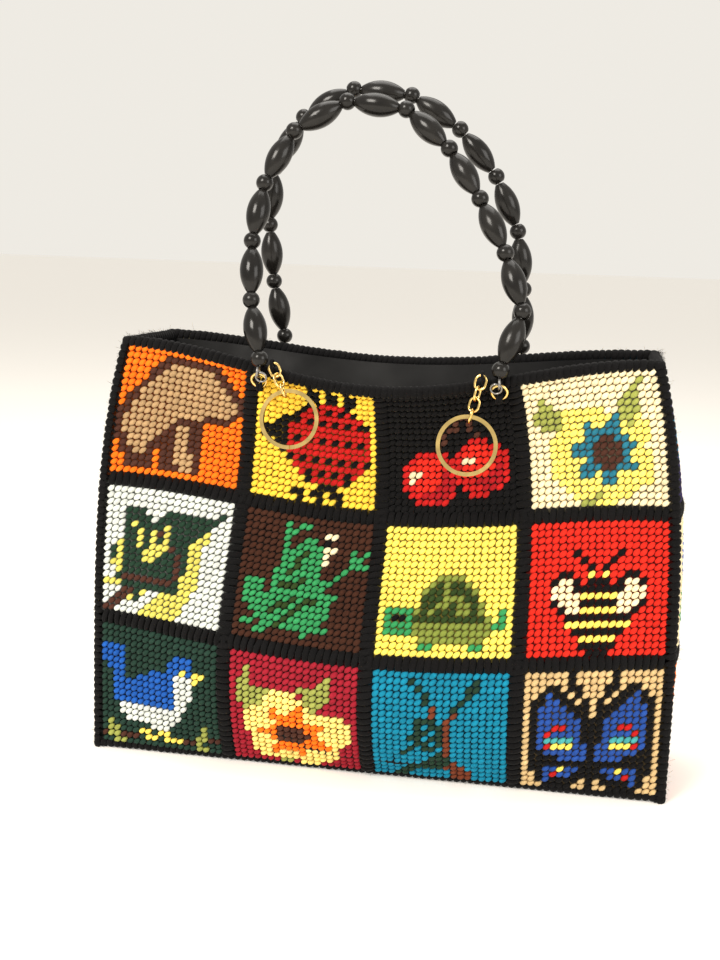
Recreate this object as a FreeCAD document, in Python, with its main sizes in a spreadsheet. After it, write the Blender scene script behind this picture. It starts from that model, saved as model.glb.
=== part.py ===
import FreeCAD, Part
import math
import os
import Sketcher
from FreeCAD import Placement, Rotation, Vector

# Needlepoint knitting bag: thirty canvas squares joined with black yarn into a box that is
# four squares wide, three high and one deep, with a fabric lining, two handles of beads
# strung on wire, and two key ring fobs. Millimetres. The origin is the middle of the base,
# on the surface that the bag stands on; -Y is the front, +Z is up.

SIZES = (
    # the walls
    ("square_side", 76.2), ("row_height", 75.0), ("columns", 4), ("rows", 3),
    ("wall_thickness", 3.6), ("seam_width", 2.6), ("corner_inset", 5.0), ("rim_inset", 4.4),
    ("edge_yarn_radius", 1.9), ("rim_yarn_radius", 2.2),
    # how the stuffed, used bag departs from a plain box
    ("front_lean", 12.0), ("front_wave", 20.5), ("front_skew", 0.2),
    ("back_lean", -7.0), ("back_wave", 14.7), ("rim_pinch", 16.0), ("rim_gather", 8.0),
    ("side_bulge", 4.0),
    # the lining
    ("lining_gap", 0.5), ("lining_thickness", 1.0), ("lining_margin", 5.5),
    # the beads and the handle wire
    ("oval_length", 23.0), ("oval_radius", 6.0), ("oval_end_radius", 2.2), ("oval_bore", 1.6),
    ("ball_length", 7.3), ("ball_radius", 4.4), ("ball_bore", 2.0), ("bead_gap", 0.45),
    ("wire_radius", 0.8), ("wire_bend_radius", 10.0),
    ("front_tilt", 18.0), ("back_tilt", 7.0), ("front_shift", -0.8), ("back_shift", -2.5),
    # rings, tabs and chains
    ("end_ring_radius", 3.8), ("ring_wire_radius", 0.7),
    ("spare_ring_radius", 2.7), ("spare_wire_radius", 0.5),
    ("eye_radius", 2.6), ("eye_wire_radius", 0.6),
    ("tab_width", 3.2), ("tab_bore_radius", 1.7), ("tab_radius", 2.5), ("tab_drop", 9.0),
    ("tab_stand_off", 5.0), ("fob_tab_width", 1.5), ("fob_tab_length", 5.5),
    ("link_length", 8.2), ("link_width", 6.4), ("link_wire_radius", 0.6),
    ("key_ring_radius", 14.1), ("key_ring_band", 2.0), ("key_ring_coil", 1.15),
)
# Direction of each oval bead along the handle, in degrees up from +X, left end to right end.
FRONT_HEADINGS = (103, 94, 83, 65, 31, -8, -42, -57, -63, -71, -107)
BACK_HEADINGS = (102, 95, 85, 60, 29, -4, -32, -49, -65, -81, -88)
SEAM_PLACE = 0.5        # where the handles hang, as a share of the half width
CLEARANCE = 0.2         # between pieces that link or touch
TAB_GAP = 0.5           # between a tab's foot and the raised seam behind it
BALL_DRAW = 0.02        # share of a bend's depth by which its round bead is drawn into it
EYE_NECK = 0.4          # bare wire between an eye and the first bead
SPARE_RING_SLANT = 35   # the small end rings hang towards the middle, degrees from straight down
SPARE_RING_OFFSET = 1.3  # and in front of the large ones
LEFT_FOB_PLACE = -0.42   # where the fob tabs stand, as shares of the half width
RIGHT_FOB_PLACE = 0.395
FOB_TAB_LEAN = 50        # the tabs lean out over the rim, degrees
FOB_TILT = 7             # the fobs lean out over the bowed rim, degrees
RING_GRIP = 2.35         # from the last link's inner end to the middle of the ring's band

doc = FreeCAD.newDocument("knitting_bag")
sheet = doc.addObject("Spreadsheet::Sheet", "sizes")
nodes = []


def fill_sheet():
    for row, (alias, value) in enumerate(SIZES, start=1):
        sheet.set("A%d" % row, alias)
        sheet.set("B%d" % row, str(value))
        sheet.setAlias("B%d" % row, alias)
    doc.recompute()


def size(alias):
    return float(getattr(sheet, alias))


def keep(obj, label):
    obj.Label = label
    nodes.append(obj)
    return obj


def keep_shape(shape, label):
    """A sub-part whose shape follows the curved walls, so no primitive fits it."""
    obj = doc.addObject("Part::Feature", label)
    obj.Shape = shape
    return keep(obj, label)


# ---------------------------------------------------------------- the walls as surfaces

def panel_height():
    return size("rows") * size("row_height")


def half_width():
    return size("columns") * size("square_side") / 2


def half_depth():
    return size("square_side") / 2


def corner_x(share):
    """The upright corners draw in towards the rim."""
    return half_width() - size("rim_pinch") * share ** 4


def broad_wall(facing, lean, wave, skew):
    """A wall across the bag. It keeps its height along the cloth, so where it bows it dips.

    On every wall, across runs from -1 to 1, left to right as seen from outside."""
    height = panel_height()

    def bow(across):
        return 1 - across * across

    def point(across, up):
        share = up / height
        reach = lean * (1 + skew * across)
        out = (reach * share + wave * math.sin(2 * math.pi * share)) * bow(across)
        steps = 24
        rise = 0.0
        for step in range(steps):
            middle = share * (step + 0.5) / steps
            slope = (reach + wave * 2 * math.pi * math.cos(2 * math.pi * middle)) * bow(across)
            rise += math.sqrt(1 - (slope / height) ** 2) * up / steps
        gather = size("rim_gather") * share ** 4 * bow(across)
        sideways = -facing * across * (corner_x(share) - gather)
        return Vector(sideways, facing * (half_depth() + out), rise)

    return point


def side_wall(facing):
    """A wall one square wide at an end of the bag, a little bulged."""
    height = panel_height()

    def point(across, up):
        share = up / height
        out = size("side_bulge") * math.sin(math.pi * share) * (1 - across * across)
        return Vector(facing * (corner_x(share) + out), facing * across * half_depth(), up)

    return point


def outward(wall, across, up):
    """Unit normal of a wall, away from the inside of the bag."""
    step = 0.01
    along = wall(across + step, up) - wall(across - step, up)
    upward = wall(across, up + step) - wall(across, up - step)
    return along.cross(upward).normalize()


def inside(wall, across, up, depth):
    return wall(across, up) - outward(wall, across, up) * depth


def patch(wall, across_range, up_range, depth_range, counts=(5, 5)):
    """A closed solid between two depths of a wall, over a range of its width and height."""
    def spread(limits, count):
        low, high = limits
        return [low + (high - low) * k / (count - 1) for k in range(count)]

    def surface(depth):
        rows = []
        for across in spread(across_range, counts[0]):
            rows.append([inside(wall, across, up, depth) for up in spread(up_range, counts[1])])
        skin = Part.BSplineSurface()
        skin.interpolate(rows)
        return skin

    outer = surface(depth_range[0])
    inner = surface(depth_range[1])
    faces = [outer.toShape(), inner.toShape()]
    for place in outer.bounds()[:2]:
        faces.append(Part.makeRuledSurface(outer.uIso(place).toShape(), inner.uIso(place).toShape()))
    for place in outer.bounds()[2:]:
        faces.append(Part.makeRuledSurface(outer.vIso(place).toShape(), inner.vIso(place).toShape()))
    shell = Part.makeShell(faces)
    shell.sewShape()
    solid = Part.makeSolid(shell)
    if solid.Volume < 0:
        shell.reverse()
        solid = Part.makeSolid(shell)
    return solid


def tube_along(points, radius):
    """A round yarn along a smooth line through the points."""
    curve = Part.BSplineCurve()
    curve.interpolate(points)
    tangent = curve.tangent(curve.FirstParameter)[0]
    circle = Part.Wire(Part.makeCircle(radius, points[0], tangent))
    return Part.Wire(curve.toShape()).makePipeShell([circle], True, False)


# ---------------------------------------------------------------- the squares and seams

def cell_limits(count, index, whole, low_edge, high_edge, gap):
    """The range of one cell in a row of cells, less half a gap or an edge inset."""
    pitch = whole / count
    low = index * pitch + (low_edge if index == 0 else gap / 2)
    high = (index + 1) * pitch - (high_edge if index == count - 1 else gap / 2)
    return low, high


def squares(wall, columns, width, label):
    """The canvas squares of one wall, top row first, each its own node."""
    rows = int(size("rows"))
    inset = size("corner_inset")
    seam = size("seam_width")
    for row in range(rows):
        level = rows - 1 - row
        up_range = cell_limits(rows, level, panel_height(), inset, size("rim_inset"), seam)
        for column in range(columns):
            low, high = cell_limits(columns, column, width, inset, inset, seam)
            across_range = (2 * low / width - 1, 2 * high / width - 1)
            solid = patch(wall, across_range, up_range, (0, size("wall_thickness")))
            place = "_row_%d" % (row + 1)
            if columns > 1:
                place += "_col_%d" % (column + 1)
            keep_shape(solid, label + place)


def seams(wall, columns, width, label):
    """The black yarn that joins the squares of one wall."""
    rows = int(size("rows"))
    seam = size("seam_width")
    inset = size("corner_inset")
    depths = (-0.3, size("wall_thickness"))
    whole_up = (inset, panel_height() - size("rim_inset"))
    solids = []
    for column in range(1, columns):
        middle = 2 * column / columns - 1
        across_range = (middle - seam / width, middle + seam / width)
        solids.append(patch(wall, across_range, whole_up, depths, (3, 15)))
    for row in range(1, rows):
        level = panel_height() * row / rows
        up_range = (level - seam / 2, level + seam / 2)
        for column in range(columns):
            low, high = cell_limits(columns, column, width, inset, inset, seam)
            across_range = (2 * low / width - 1, 2 * high / width - 1)
            solids.append(patch(wall, across_range, up_range, depths, (7, 3)))
    keep_shape(Part.makeCompound(solids), label)


def rim_binding(walls):
    """Overcast yarn along the top edge, one length for each wall."""
    centre_depth = size("wall_thickness") / 2
    level = panel_height() - size("rim_yarn_radius") + 0.2
    solids = []
    for wall, width in walls:
        end = 1 - 2 * size("corner_inset") / width
        count = 9
        line = []
        for k in range(count):
            across = -end + 2 * end * k / (count - 1)
            line.append(inside(wall, across, level, centre_depth))
        solids.append(tube_along(line, size("rim_yarn_radius")))
    keep_shape(Part.makeCompound(solids), "rim_binding")


def corner_seams():
    """Black yarn up the four corners, from the base to the rim."""
    radius = size("edge_yarn_radius")
    solids = []
    for side in (-1, 1):
        for facing in (-1, 1):
            line = []
            count = 9
            for k in range(count):
                share = k / (count - 1)
                level = radius + (panel_height() - radius) * share
                place = corner_x(level / panel_height()) - radius
                line.append(Vector(side * place, facing * (half_depth() - radius), level))
            solids.append(tube_along(line, radius))
    keep_shape(Part.makeCompound(solids), "corner_seams")


def base():
    """The flat canvas base, and the yarn that joins it to the walls."""
    inset = size("corner_inset")
    body = doc.addObject("PartDesign::Body", "base_body")
    sketch = body.newObject("Sketcher::SketchObject", "base_outline")
    plane = [f for f in body.Origin.OriginFeatures if f.Role == "XY_Plane"][0]
    sketch.AttachmentSupport = (plane, "")
    sketch.MapMode = "FlatFace"
    x = half_width() - inset
    y = half_depth() - inset
    corners = [Vector(-x, -y, 0), Vector(x, -y, 0), Vector(x, y, 0), Vector(-x, y, 0)]
    for k in range(4):
        sketch.addGeometry(Part.LineSegment(corners[k], corners[(k + 1) % 4]), False)
    for k in range(4):
        sketch.addConstraint(Sketcher.Constraint("Coincident", k, 2, (k + 1) % 4, 1))
    for k in (0, 2):
        sketch.addConstraint(Sketcher.Constraint("Horizontal", k))
    for k in (1, 3):
        sketch.addConstraint(Sketcher.Constraint("Vertical", k))
    sketch.addConstraint(Sketcher.Constraint("Symmetric", 0, 1, 1, 2, -1, 1))
    length = sketch.addConstraint(Sketcher.Constraint("DistanceX", 0, 1, 0, 2, 2 * x))
    width = sketch.addConstraint(Sketcher.Constraint("DistanceY", 1, 1, 1, 2, 2 * y))
    sketch.setExpression("Constraints[%d]" % length,
                         "sizes.columns * sizes.square_side - 2 * sizes.corner_inset")
    sketch.setExpression("Constraints[%d]" % width,
                         "sizes.square_side - 2 * sizes.corner_inset")
    pad = body.newObject("PartDesign::Pad", "base_pad")
    pad.Profile = sketch
    pad.setExpression("Length", "sizes.wall_thickness")
    body.Tip = pad
    keep(body, "base_panel")
    lengths = []
    for side in (-1, 1):
        lengths.append(("Y", side, 0, "sizes.square_side - 2 * sizes.corner_inset"))
        lengths.append(("X", 0, side,
                        "sizes.columns * sizes.square_side - 2 * sizes.corner_inset"))
    yarns = []
    for k, (direction, side, facing, length) in enumerate(lengths):
        yarn = doc.addObject("Part::Cylinder", "base_yarn_%d" % k)
        yarn.setExpression("Radius", "sizes.edge_yarn_radius")
        yarn.setExpression("Height", length)
        radius = size("edge_yarn_radius")
        if direction == "Y":
            start = Vector(side * (half_width() - radius), -y, radius)
            turn = Rotation(Vector(1, 0, 0), -90)
        else:
            start = Vector(-x, facing * (half_depth() - radius), radius)
            turn = Rotation(Vector(0, 1, 0), 90)
        yarn.Placement = Placement(start, turn)
        yarns.append(yarn)
    group = doc.addObject("Part::Compound", "base_yarns")
    group.Links = yarns
    keep(group, "base_seams")


def linings(front, back, left, right):
    """Fabric lining: a sheet inside each wall and one over the base."""
    outer = size("wall_thickness") + size("lining_gap")
    depths = (outer, outer + size("lining_thickness"))
    margin = size("lining_margin")
    up_range = (1.6 * margin, panel_height() - margin)
    for wall, label in ((front, "lining_front"), (back, "lining_back")):
        end = 1 - 1.7 * margin / half_width()
        keep_shape(patch(wall, (-end, end), up_range, depths, (17, 15)), label)
    for wall, label in ((left, "lining_left"), (right, "lining_right")):
        end = 1 - 1.7 * margin / half_depth()
        keep_shape(patch(wall, (-end, end), up_range, depths, (5, 11)), label)
    floor = doc.addObject("Part::Box", "lining_floor")
    floor.setExpression("Length", "sizes.columns * sizes.square_side - 4 * sizes.lining_margin")
    floor.setExpression("Width", "sizes.square_side - 4 * sizes.lining_margin")
    floor.setExpression("Height", "sizes.lining_thickness")
    floor.Placement = Placement(Vector(2 * margin - half_width(), 2 * margin - half_depth(),
                                       outer), Rotation())
    keep(floor, "lining_base")


# ---------------------------------------------------------------- beads and handles

def revolved_bead(name, length_alias, radius_alias, bore_alias, end_radius):
    """A bead turned about Z with its bore, as a body to be copied along the wire."""
    body = doc.addObject("PartDesign::Body", name)
    sketch = body.newObject("Sketcher::SketchObject", name + "_profile")
    plane = [f for f in body.Origin.OriginFeatures if f.Role == "XZ_Plane"][0]
    sketch.AttachmentSupport = (plane, "")
    sketch.MapMode = "FlatFace"
    half = size(length_alias) / 2
    bore = size(bore_alias)
    end = end_radius
    low = Vector(end, -half, 0)
    high = Vector(end, half, 0)
    belly = Vector(size(radius_alias), 0, 0)
    arc = Part.Arc(low, belly, high)
    sketch.addGeometry(arc, False)
    sketch.addGeometry(Part.LineSegment(high, Vector(bore, half, 0)), False)
    sketch.addGeometry(Part.LineSegment(Vector(bore, half, 0), Vector(bore, -half, 0)), False)
    sketch.addGeometry(Part.LineSegment(Vector(bore, -half, 0), low), False)
    turned = body.newObject("PartDesign::Revolution", name + "_turned")
    turned.Profile = sketch
    turned.ReferenceAxis = (sketch, ["V_Axis"])
    turned.Angle = 360
    body.Tip = turned
    doc.recompute()
    return body


def handle_line(headings):
    """The joints of the bead string in its own plane, ends level and centred on X = 0."""
    pitch = size("oval_length") + size("ball_length") + 2 * size("bead_gap")
    joints = [Vector(0, 0, 0)]
    for heading in headings:
        angle = math.radians(heading)
        joints.append(joints[-1] + Vector(math.cos(angle), 0, math.sin(angle)) * pitch)
    chord = joints[-1] - joints[0]
    level = Rotation(Vector(0, 1, 0), math.degrees(math.atan2(chord.z, chord.x)))
    joints = [level.multVec(joint) for joint in joints]
    middle = (joints[0] + joints[-1]) / 2
    return [joint - middle for joint in joints]


def rounded_path(points, bend_radius):
    """Straight runs joined by tangent arcs."""
    edges = []
    start = points[0]
    for before, corner, after in zip(points, points[1:], points[2:]):
        back = (before - corner).normalize()
        on = (after - corner).normalize()
        half_turn = (math.pi - back.getAngle(on)) / 2
        reach = bend_radius * math.tan(half_turn)
        if half_turn < 0.01:
            continue
        bisector = (back + on).normalize()
        centre = corner + bisector * (bend_radius / math.cos(half_turn))
        first = corner + back * reach
        last = corner + on * reach
        middle = centre - bisector * bend_radius
        edges.append(Part.LineSegment(start, first).toShape())
        edges.append(Part.Arc(first, middle, last).toShape())
        start = last
    edges.append(Part.LineSegment(start, points[-1]).toShape())
    return Part.Wire(edges)


class Hanger:
    """Where a handle end hangs on a wall: the tab axis, the wall's up direction and normal."""

    def __init__(self, wall, across, drop):
        self.up_length = panel_height() - drop
        self.normal = outward(wall, across, self.up_length)
        step = 0.5
        upward = wall(across, self.up_length + step) - wall(across, self.up_length - step)
        upward.x = 0
        self.upward = upward.normalize()
        self.out = Vector(0, self.upward.z, -self.upward.y)
        if self.out.y * wall(across, 0).y < 0:
            self.out = -self.out
        self.axis = wall(across, self.up_length) + self.out * size("tab_stand_off")


def handle_ends(headings, side):
    """The X of a handle's left and right ends."""
    half_span = handle_line(headings)[-1].x
    shift = size(side + "_shift")
    return shift - half_span, shift + half_span


def tab(centre, out, width, length):
    """A loop of black yarn, bored along X for a ring or link, on a foot that points back."""
    radius = size("tab_radius")
    start = centre - Vector(width / 2, 0, 0)
    rounded = Part.makeCylinder(radius, width, start, Vector(1, 0, 0))
    foot = Part.makeBox(width, length, 2 * radius, Vector(-width / 2, -length, -radius))
    turn = Rotation(Vector(1, 0, 0), out, Vector(1, 0, 0).cross(out), "XYZ")
    foot.Placement = Placement(centre, turn)
    bore = Part.makeCylinder(size("tab_bore_radius"), width + 2, start - Vector(1, 0, 0),
                             Vector(1, 0, 0))
    return rounded.fuse(foot).cut(bore).removeSplitter()


def wall_tabs(wall, hanger, places):
    """The tabs that hold the end rings of one handle, each with its foot on the wall."""
    solids = []
    seam_x = wall(SEAM_PLACE, hanger.up_length).x
    for x in places:
        centre = Vector(x, hanger.axis.y, hanger.axis.z)
        behind = wall(SEAM_PLACE * x / seam_x, hanger.up_length)
        length = (centre - behind).dot(hanger.out) - TAB_GAP
        solids.append(tab(centre, hanger.out, size("tab_width"), length))
    return solids


def ring(name, radius_alias, wire_alias, centre, axis):
    torus = doc.addObject("Part::Torus", name)
    torus.setExpression("Radius1", "sizes." + radius_alias)
    torus.setExpression("Radius2", "sizes." + wire_alias)
    torus.Placement = Placement(centre, Rotation(Vector(0, 0, 1), axis))
    return torus


def ring_pair(rings, label):
    group = doc.addObject("Part::Compound", label + "_pair")
    group.Links = rings
    keep(group, label)


def end_rings(hanger, ends, eye_height, label):
    """At each end of a handle, a ring through the tab and eye, and a small one in the eye."""
    large = []
    small = []
    for x, inward, name in zip(ends, (1, -1), ("left", "right")):
        axis = Vector(x, hanger.axis.y, hanger.axis.z)
        centre = axis + hanger.upward * size("end_ring_radius")
        large.append(ring("%s_%s_ring" % (label, name), "end_ring_radius", "ring_wire_radius",
                          centre, hanger.out))
        spare_radius = size("spare_ring_radius")
        slant = math.radians(SPARE_RING_SLANT)
        top = axis + hanger.upward * eye_height + hanger.out * SPARE_RING_OFFSET
        hang = Vector(inward * math.sin(slant), 0, 0) - hanger.upward * math.cos(slant)
        small.append(ring("%s_%s_spare" % (label, name), "spare_ring_radius",
                          "spare_wire_radius", top + hang * spare_radius, hanger.out))
    ring_pair(large, label + "_rings")
    ring_pair(small, label + "_spare_rings")


def handle(wall, facing, headings, side, label):
    """One handle: core wire with an eye at each end, oval and round beads, two end rings."""
    joints = handle_line(headings)
    hanger = Hanger(wall, SEAM_PLACE, size("tab_drop"))
    ends = handle_ends(headings, side)
    ring_top = 2 * size("end_ring_radius")
    eye_centre = hanger.axis + hanger.upward * (
        ring_top - size("ring_wire_radius") - size("eye_wire_radius") - CLEARANCE
        + size("eye_radius"))
    eye_centre.x = size(side + "_shift")
    lean = Rotation(Vector(1, 0, 0), facing * size(side + "_tilt"))
    shank = size("eye_radius") + size("ball_length") / 2 + EYE_NECK
    base_point = eye_centre + lean.multVec(Vector(0, 0, 1)) * shank
    plane = Placement(base_point, lean)

    centres = [plane.multVec(joint) for joint in joints]
    down = lean.multVec(Vector(0, 0, -1))
    drop = down * (shank - size("eye_radius"))
    path_points = [centres[0] + drop] + centres + [centres[-1] + drop]
    path = rounded_path(path_points, size("wire_bend_radius"))
    profile = Part.Wire(Part.makeCircle(size("wire_radius"), path_points[0], down))
    wire = path.makePipeShell([profile], True, False)
    for end in (centres[0], centres[-1]):
        eye = Part.makeTorus(size("eye_radius"), size("eye_wire_radius"),
                             end + down * shank, Vector(1, 0, 0))
        wire = wire.fuse(eye)
    keep_shape(wire, label + "_wire")

    ovals = []
    for start, finish in zip(centres, centres[1:]):
        turn = Rotation(Vector(0, 0, 1), finish - start)
        ovals.append(oval_bead.Shape.transformed(
            Placement((start + finish) / 2, turn).toMatrix()))
    keep_shape(Part.makeCompound(ovals), label + "_oval_beads")

    balls = []
    for k, centre in enumerate(centres):
        before = centres[max(k - 1, 0)]
        after = centres[min(k + 1, len(centres) - 1)]
        turn = Rotation(Vector(0, 0, 1), after - before)
        spot = centre
        if 0 < k < len(centres) - 1:
            spot = centre + ((before + after) / 2 - centre) * BALL_DRAW
        balls.append(ball_bead.Shape.transformed(Placement(spot, turn).toMatrix()))
    keep_shape(Part.makeCompound(balls), label + "_round_beads")

    eye_height = (eye_centre - hanger.axis).dot(hanger.upward)
    end_rings(hanger, ends, eye_height, label)
    print("%s hinge: y %.2f z %.2f ends x %.2f %.2f top z %.1f" % (
        label, hanger.axis.y, hanger.axis.z, ends[0], ends[1], max(c.z for c in centres)))
    return hanger


# ---------------------------------------------------------------- chains and key rings

def link_bend_radius():
    """Radius of the round ends of a link, at the middle of its wire."""
    return size("link_width") / 2 - size("link_wire_radius")


def chain_link():
    """One oval link of round wire, long way along Z, lying in the XZ plane."""
    radius = size("link_wire_radius")
    end = link_bend_radius()
    straight = size("link_length") / 2 - radius - end
    link = None
    for up in (-1, 1):
        bend = Part.makeTorus(end, radius, Vector(0, 0, 0), Vector(0, 0, 1), -180, 180, 180)
        bend.Placement = Placement(Vector(0, 0, up * straight),
                                   Rotation(Vector(1, 0, 0), up * 90))
        side = Part.makeCylinder(radius, 2 * straight, Vector(up * end, 0, -straight))
        link = bend.fuse(side) if link is None else link.fuse([bend, side])
    return link.removeSplitter()


def split_ring():
    """A key ring: flat spring wire wound twice, in the XY plane, middle at the origin."""
    coil = size("key_ring_coil")
    band = size("key_ring_band")
    radius = size("key_ring_radius")
    pitch = coil + 0.08
    turns = 1.97
    helix = Part.makeHelix(pitch, pitch * turns, radius)
    x = radius - band / 2
    profile = Part.makePolygon([
        Vector(x, 0, -coil / 2), Vector(x + band, 0, -coil / 2),
        Vector(x + band, 0, coil / 2), Vector(x, 0, coil / 2), Vector(x, 0, -coil / 2)])
    ring = Part.Wire(helix.Edges).makePipeShell([Part.Wire(profile.Edges)], True, True)
    ring.translate(Vector(0, 0, -pitch * turns / 2))
    return ring


def fob(wall, across, twists, chain_angle, ring_angle, label):
    """A short chain from a yarn tab on the rim, and its key ring, draped down the front."""
    rim = inside(wall, across, panel_height() - size("rim_yarn_radius") + 0.2,
                 size("wall_thickness") / 2)
    lean = math.radians(FOB_TAB_LEAN)
    out = Vector(0, -math.sin(lean), math.cos(lean))
    pivot = rim + out * (size("rim_yarn_radius") + size("fob_tab_length") + 0.05)

    tilt = math.radians(FOB_TILT)
    slant = math.radians(chain_angle)
    down = Vector(math.sin(slant), -math.sin(tilt) * math.cos(slant),
                  -math.cos(tilt) * math.cos(slant))
    normal = Vector(0, -math.cos(tilt), math.sin(tilt))
    wire = size("link_wire_radius")
    pitch = size("link_length") - 4 * wire - CLEARANCE
    link = chain_link()
    solids = []
    for k, twist in enumerate(twists):
        middle = pivot + down * (size("link_length") / 2 - wire + pitch * k)
        turn = Rotation(normal.cross(down).normalize(), normal, -down, "ZXY")
        spin = Rotation(Vector(0, 0, 1), twist)
        solids.append(link.transformed(Placement(middle, turn.multiply(spin)).toMatrix()))
    keep_shape(Part.makeCompound(solids), label + "_chain")
    swing = pivot + down * link_bend_radius()
    last = middle + down * (size("link_length") / 2 - wire - link_bend_radius())
    side = down.cross(normal).normalize()

    slant = math.radians(ring_angle)
    hang = Vector(math.sin(slant), -math.sin(tilt) * math.cos(slant),
                  -math.cos(tilt) * math.cos(slant))
    inner_end = pivot + down * (pitch * (len(twists) - 1) + size("link_length") - 3 * wire)
    grip = inner_end - down * RING_GRIP
    ring_centre = grip + hang * size("key_ring_radius")
    turn = Rotation(hang, normal.cross(hang), normal, "ZXY")
    key_ring = split_ring().transformed(Placement(ring_centre, turn).toMatrix())
    keep_shape(key_ring, label + "_key_ring")
    for name, spot in (("swing", swing), ("swing axis", normal), ("ring swing", last),
                       ("ring swing axis", side), ("ring centre", ring_centre)):
        print("%s %s: %.4f %.4f %.4f" % (label, name, spot.x, spot.y, spot.z))
    return tab(pivot, out, size("fob_tab_width"), size("fob_tab_length"))


# ---------------------------------------------------------------- the whole bag

def build():
    columns = int(size("columns"))
    width = 2 * half_width()
    depth = 2 * half_depth()
    front = broad_wall(-1, size("front_lean"), size("front_wave"), size("front_skew"))
    back = broad_wall(1, size("back_lean"), size("back_wave"), 0)
    left = side_wall(-1)
    right = side_wall(1)
    walls = ((front, width, columns, "front"), (back, width, columns, "back"),
             (left, depth, 1, "left_side"), (right, depth, 1, "right_side"))
    for wall, wall_width, count, name in walls:
        squares(wall, count, wall_width, name + "_square")
        seams(wall, count, wall_width, name + "_seams")
    rim_binding([(wall, wall_width) for wall, wall_width, _, _ in walls])
    corner_seams()
    base()
    linings(front, back, left, right)

    front_hanger = handle(front, -1, FRONT_HEADINGS, "front", "front_handle")
    back_hanger = handle(back, 1, BACK_HEADINGS, "back", "back_handle")
    front_tabs = wall_tabs(front, front_hanger, handle_ends(FRONT_HEADINGS, "front"))
    front_tabs.append(fob(front, LEFT_FOB_PLACE, (0, 50, 90), 26, 15, "left_fob"))
    front_tabs.append(fob(front, RIGHT_FOB_PLACE, (0, 70, 160, 90), -13, -4, "right_fob"))
    keep_shape(Part.makeCompound(front_tabs), "front_tabs")
    back_tabs = wall_tabs(back, back_hanger, handle_ends(BACK_HEADINGS, "back"))
    keep_shape(Part.makeCompound(back_tabs), "back_tabs")


def check_document():
    doc.recompute()
    for obj in doc.Objects:
        if "Invalid" in obj.State or "Error" in obj.State:
            raise RuntimeError("failed object: " + obj.Label)
    for obj in nodes:
        shape = obj.Shape
        if shape.isNull() or not shape.isValid() or not shape.Solids:
            raise RuntimeError("bad shape: " + obj.Label)
        if min(solid.Volume for solid in shape.Solids) <= 0:
            raise RuntimeError("inside-out solid: " + obj.Label)


def export():
    os.makedirs("parts", exist_ok=True)
    for obj in nodes:
        obj.Shape.exportStep("parts/%s.step" % obj.Label)
    print("%d nodes" % len(nodes))


fill_sheet()
oval_bead = revolved_bead("oval_bead", "oval_length", "oval_radius", "oval_bore",
                          size("oval_end_radius"))
# the round bead is a true ball, so its flat ends are as wide as the ball is there
ball_end = math.sqrt(size("ball_radius") ** 2 - (size("ball_length") / 2) ** 2)
ball_bead = revolved_bead("ball_bead", "ball_length", "ball_radius", "ball_bore", ball_end)
build()
check_document()
export()
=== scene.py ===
import math

import bpy
import numpy as np
from mathutils import Matrix, Vector


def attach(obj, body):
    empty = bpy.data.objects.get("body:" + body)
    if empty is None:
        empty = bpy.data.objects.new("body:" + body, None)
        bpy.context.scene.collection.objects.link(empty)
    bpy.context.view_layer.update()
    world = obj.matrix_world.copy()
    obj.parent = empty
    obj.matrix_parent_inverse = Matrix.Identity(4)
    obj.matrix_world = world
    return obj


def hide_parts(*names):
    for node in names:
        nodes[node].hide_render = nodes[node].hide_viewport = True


# Needlepoint knitting bag: thirty stitched squares joined with black wool, a satin lining,
# two handles of beads on wire, and two key ring fobs. Metres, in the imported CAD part's frame.

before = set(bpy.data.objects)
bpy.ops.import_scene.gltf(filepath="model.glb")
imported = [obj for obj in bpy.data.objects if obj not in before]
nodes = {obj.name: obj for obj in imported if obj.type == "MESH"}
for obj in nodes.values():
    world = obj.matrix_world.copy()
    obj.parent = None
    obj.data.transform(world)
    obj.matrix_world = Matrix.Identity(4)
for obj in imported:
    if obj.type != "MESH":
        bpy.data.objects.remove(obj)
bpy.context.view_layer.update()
MM = 0.001

# ---------------------------------------------------------------- driving sizes

SQUARE = 76.2 * MM          # pitch of the squares along a wall
ROW = 75.0 * MM             # and up it
COLUMNS = 4
ROWS = 3
HEIGHT = ROWS * ROW
HALF_WIDTH = COLUMNS * SQUARE / 2
HALF_DEPTH = SQUARE / 2
CHART = 19                  # picture stitches across a square
HOLES = CHART + 2           # with one hole for the joining yarn at each side
WALL = 3.6 * MM             # canvas and wool together
RIM_PINCH = 16.0 * MM       # how far the stuffed bag departs from a plain box
RIM_GATHER = 8.0 * MM
SIDE_BULGE = 4.0 * MM
FRONT_SHAPE = (12.0 * MM, 20.5 * MM, 0.2)    # lean, wave and skew of the front wall
BACK_SHAPE = (-7.0 * MM, 14.7 * MM, 0.0)
EDGE_BAND = 3.9 * MM        # width of the whipped edge on each face
SEAM_REACH = 3.9 * MM       # and of a seam, on each side of its join

STITCH_LENGTH = 4.7 * MM
STITCH_HALF_WIDTH = 1.42 * MM
STITCH_HALF_HEIGHT = 1.15 * MM
STITCH_SLANT = math.radians(43)
CANVAS_DEPTH = 1.1 * MM     # canvas face, inside the face of the CAD wall
CANVAS_MARGIN = 1.4 * MM    # canvas edge, in from the edge of the square
GAP_SHADE = 0.12            # painted shade: the canvas between stitches takes the ground colour darkened by this factor, for the shadow in the gaps

SEAM_YARN = (1.75 * MM, 1.25 * MM)      # half width and half height of a whipped stitch
CORNER_YARN = (1.95 * MM, 1.2 * MM)
RIM_YARN = (1.9 * MM, 1.15 * MM)
TAB_YARN = (0.82 * MM, 0.42 * MM)
SEAM_COUNT = 59             # stitches up a seam
ROW_COUNT = 20              # and along one square
CORNER_COUNT = 62
RIM_PITCH = 3.5 * MM
BASE_PITCH = 3.55 * MM
PLY_TURNS = 3.0             # twists of the ply along a stitch
LOWEST = 0.05 * MM          # yarn stays above the surface that the bag stands on

rng = np.random.default_rng(7)

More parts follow.
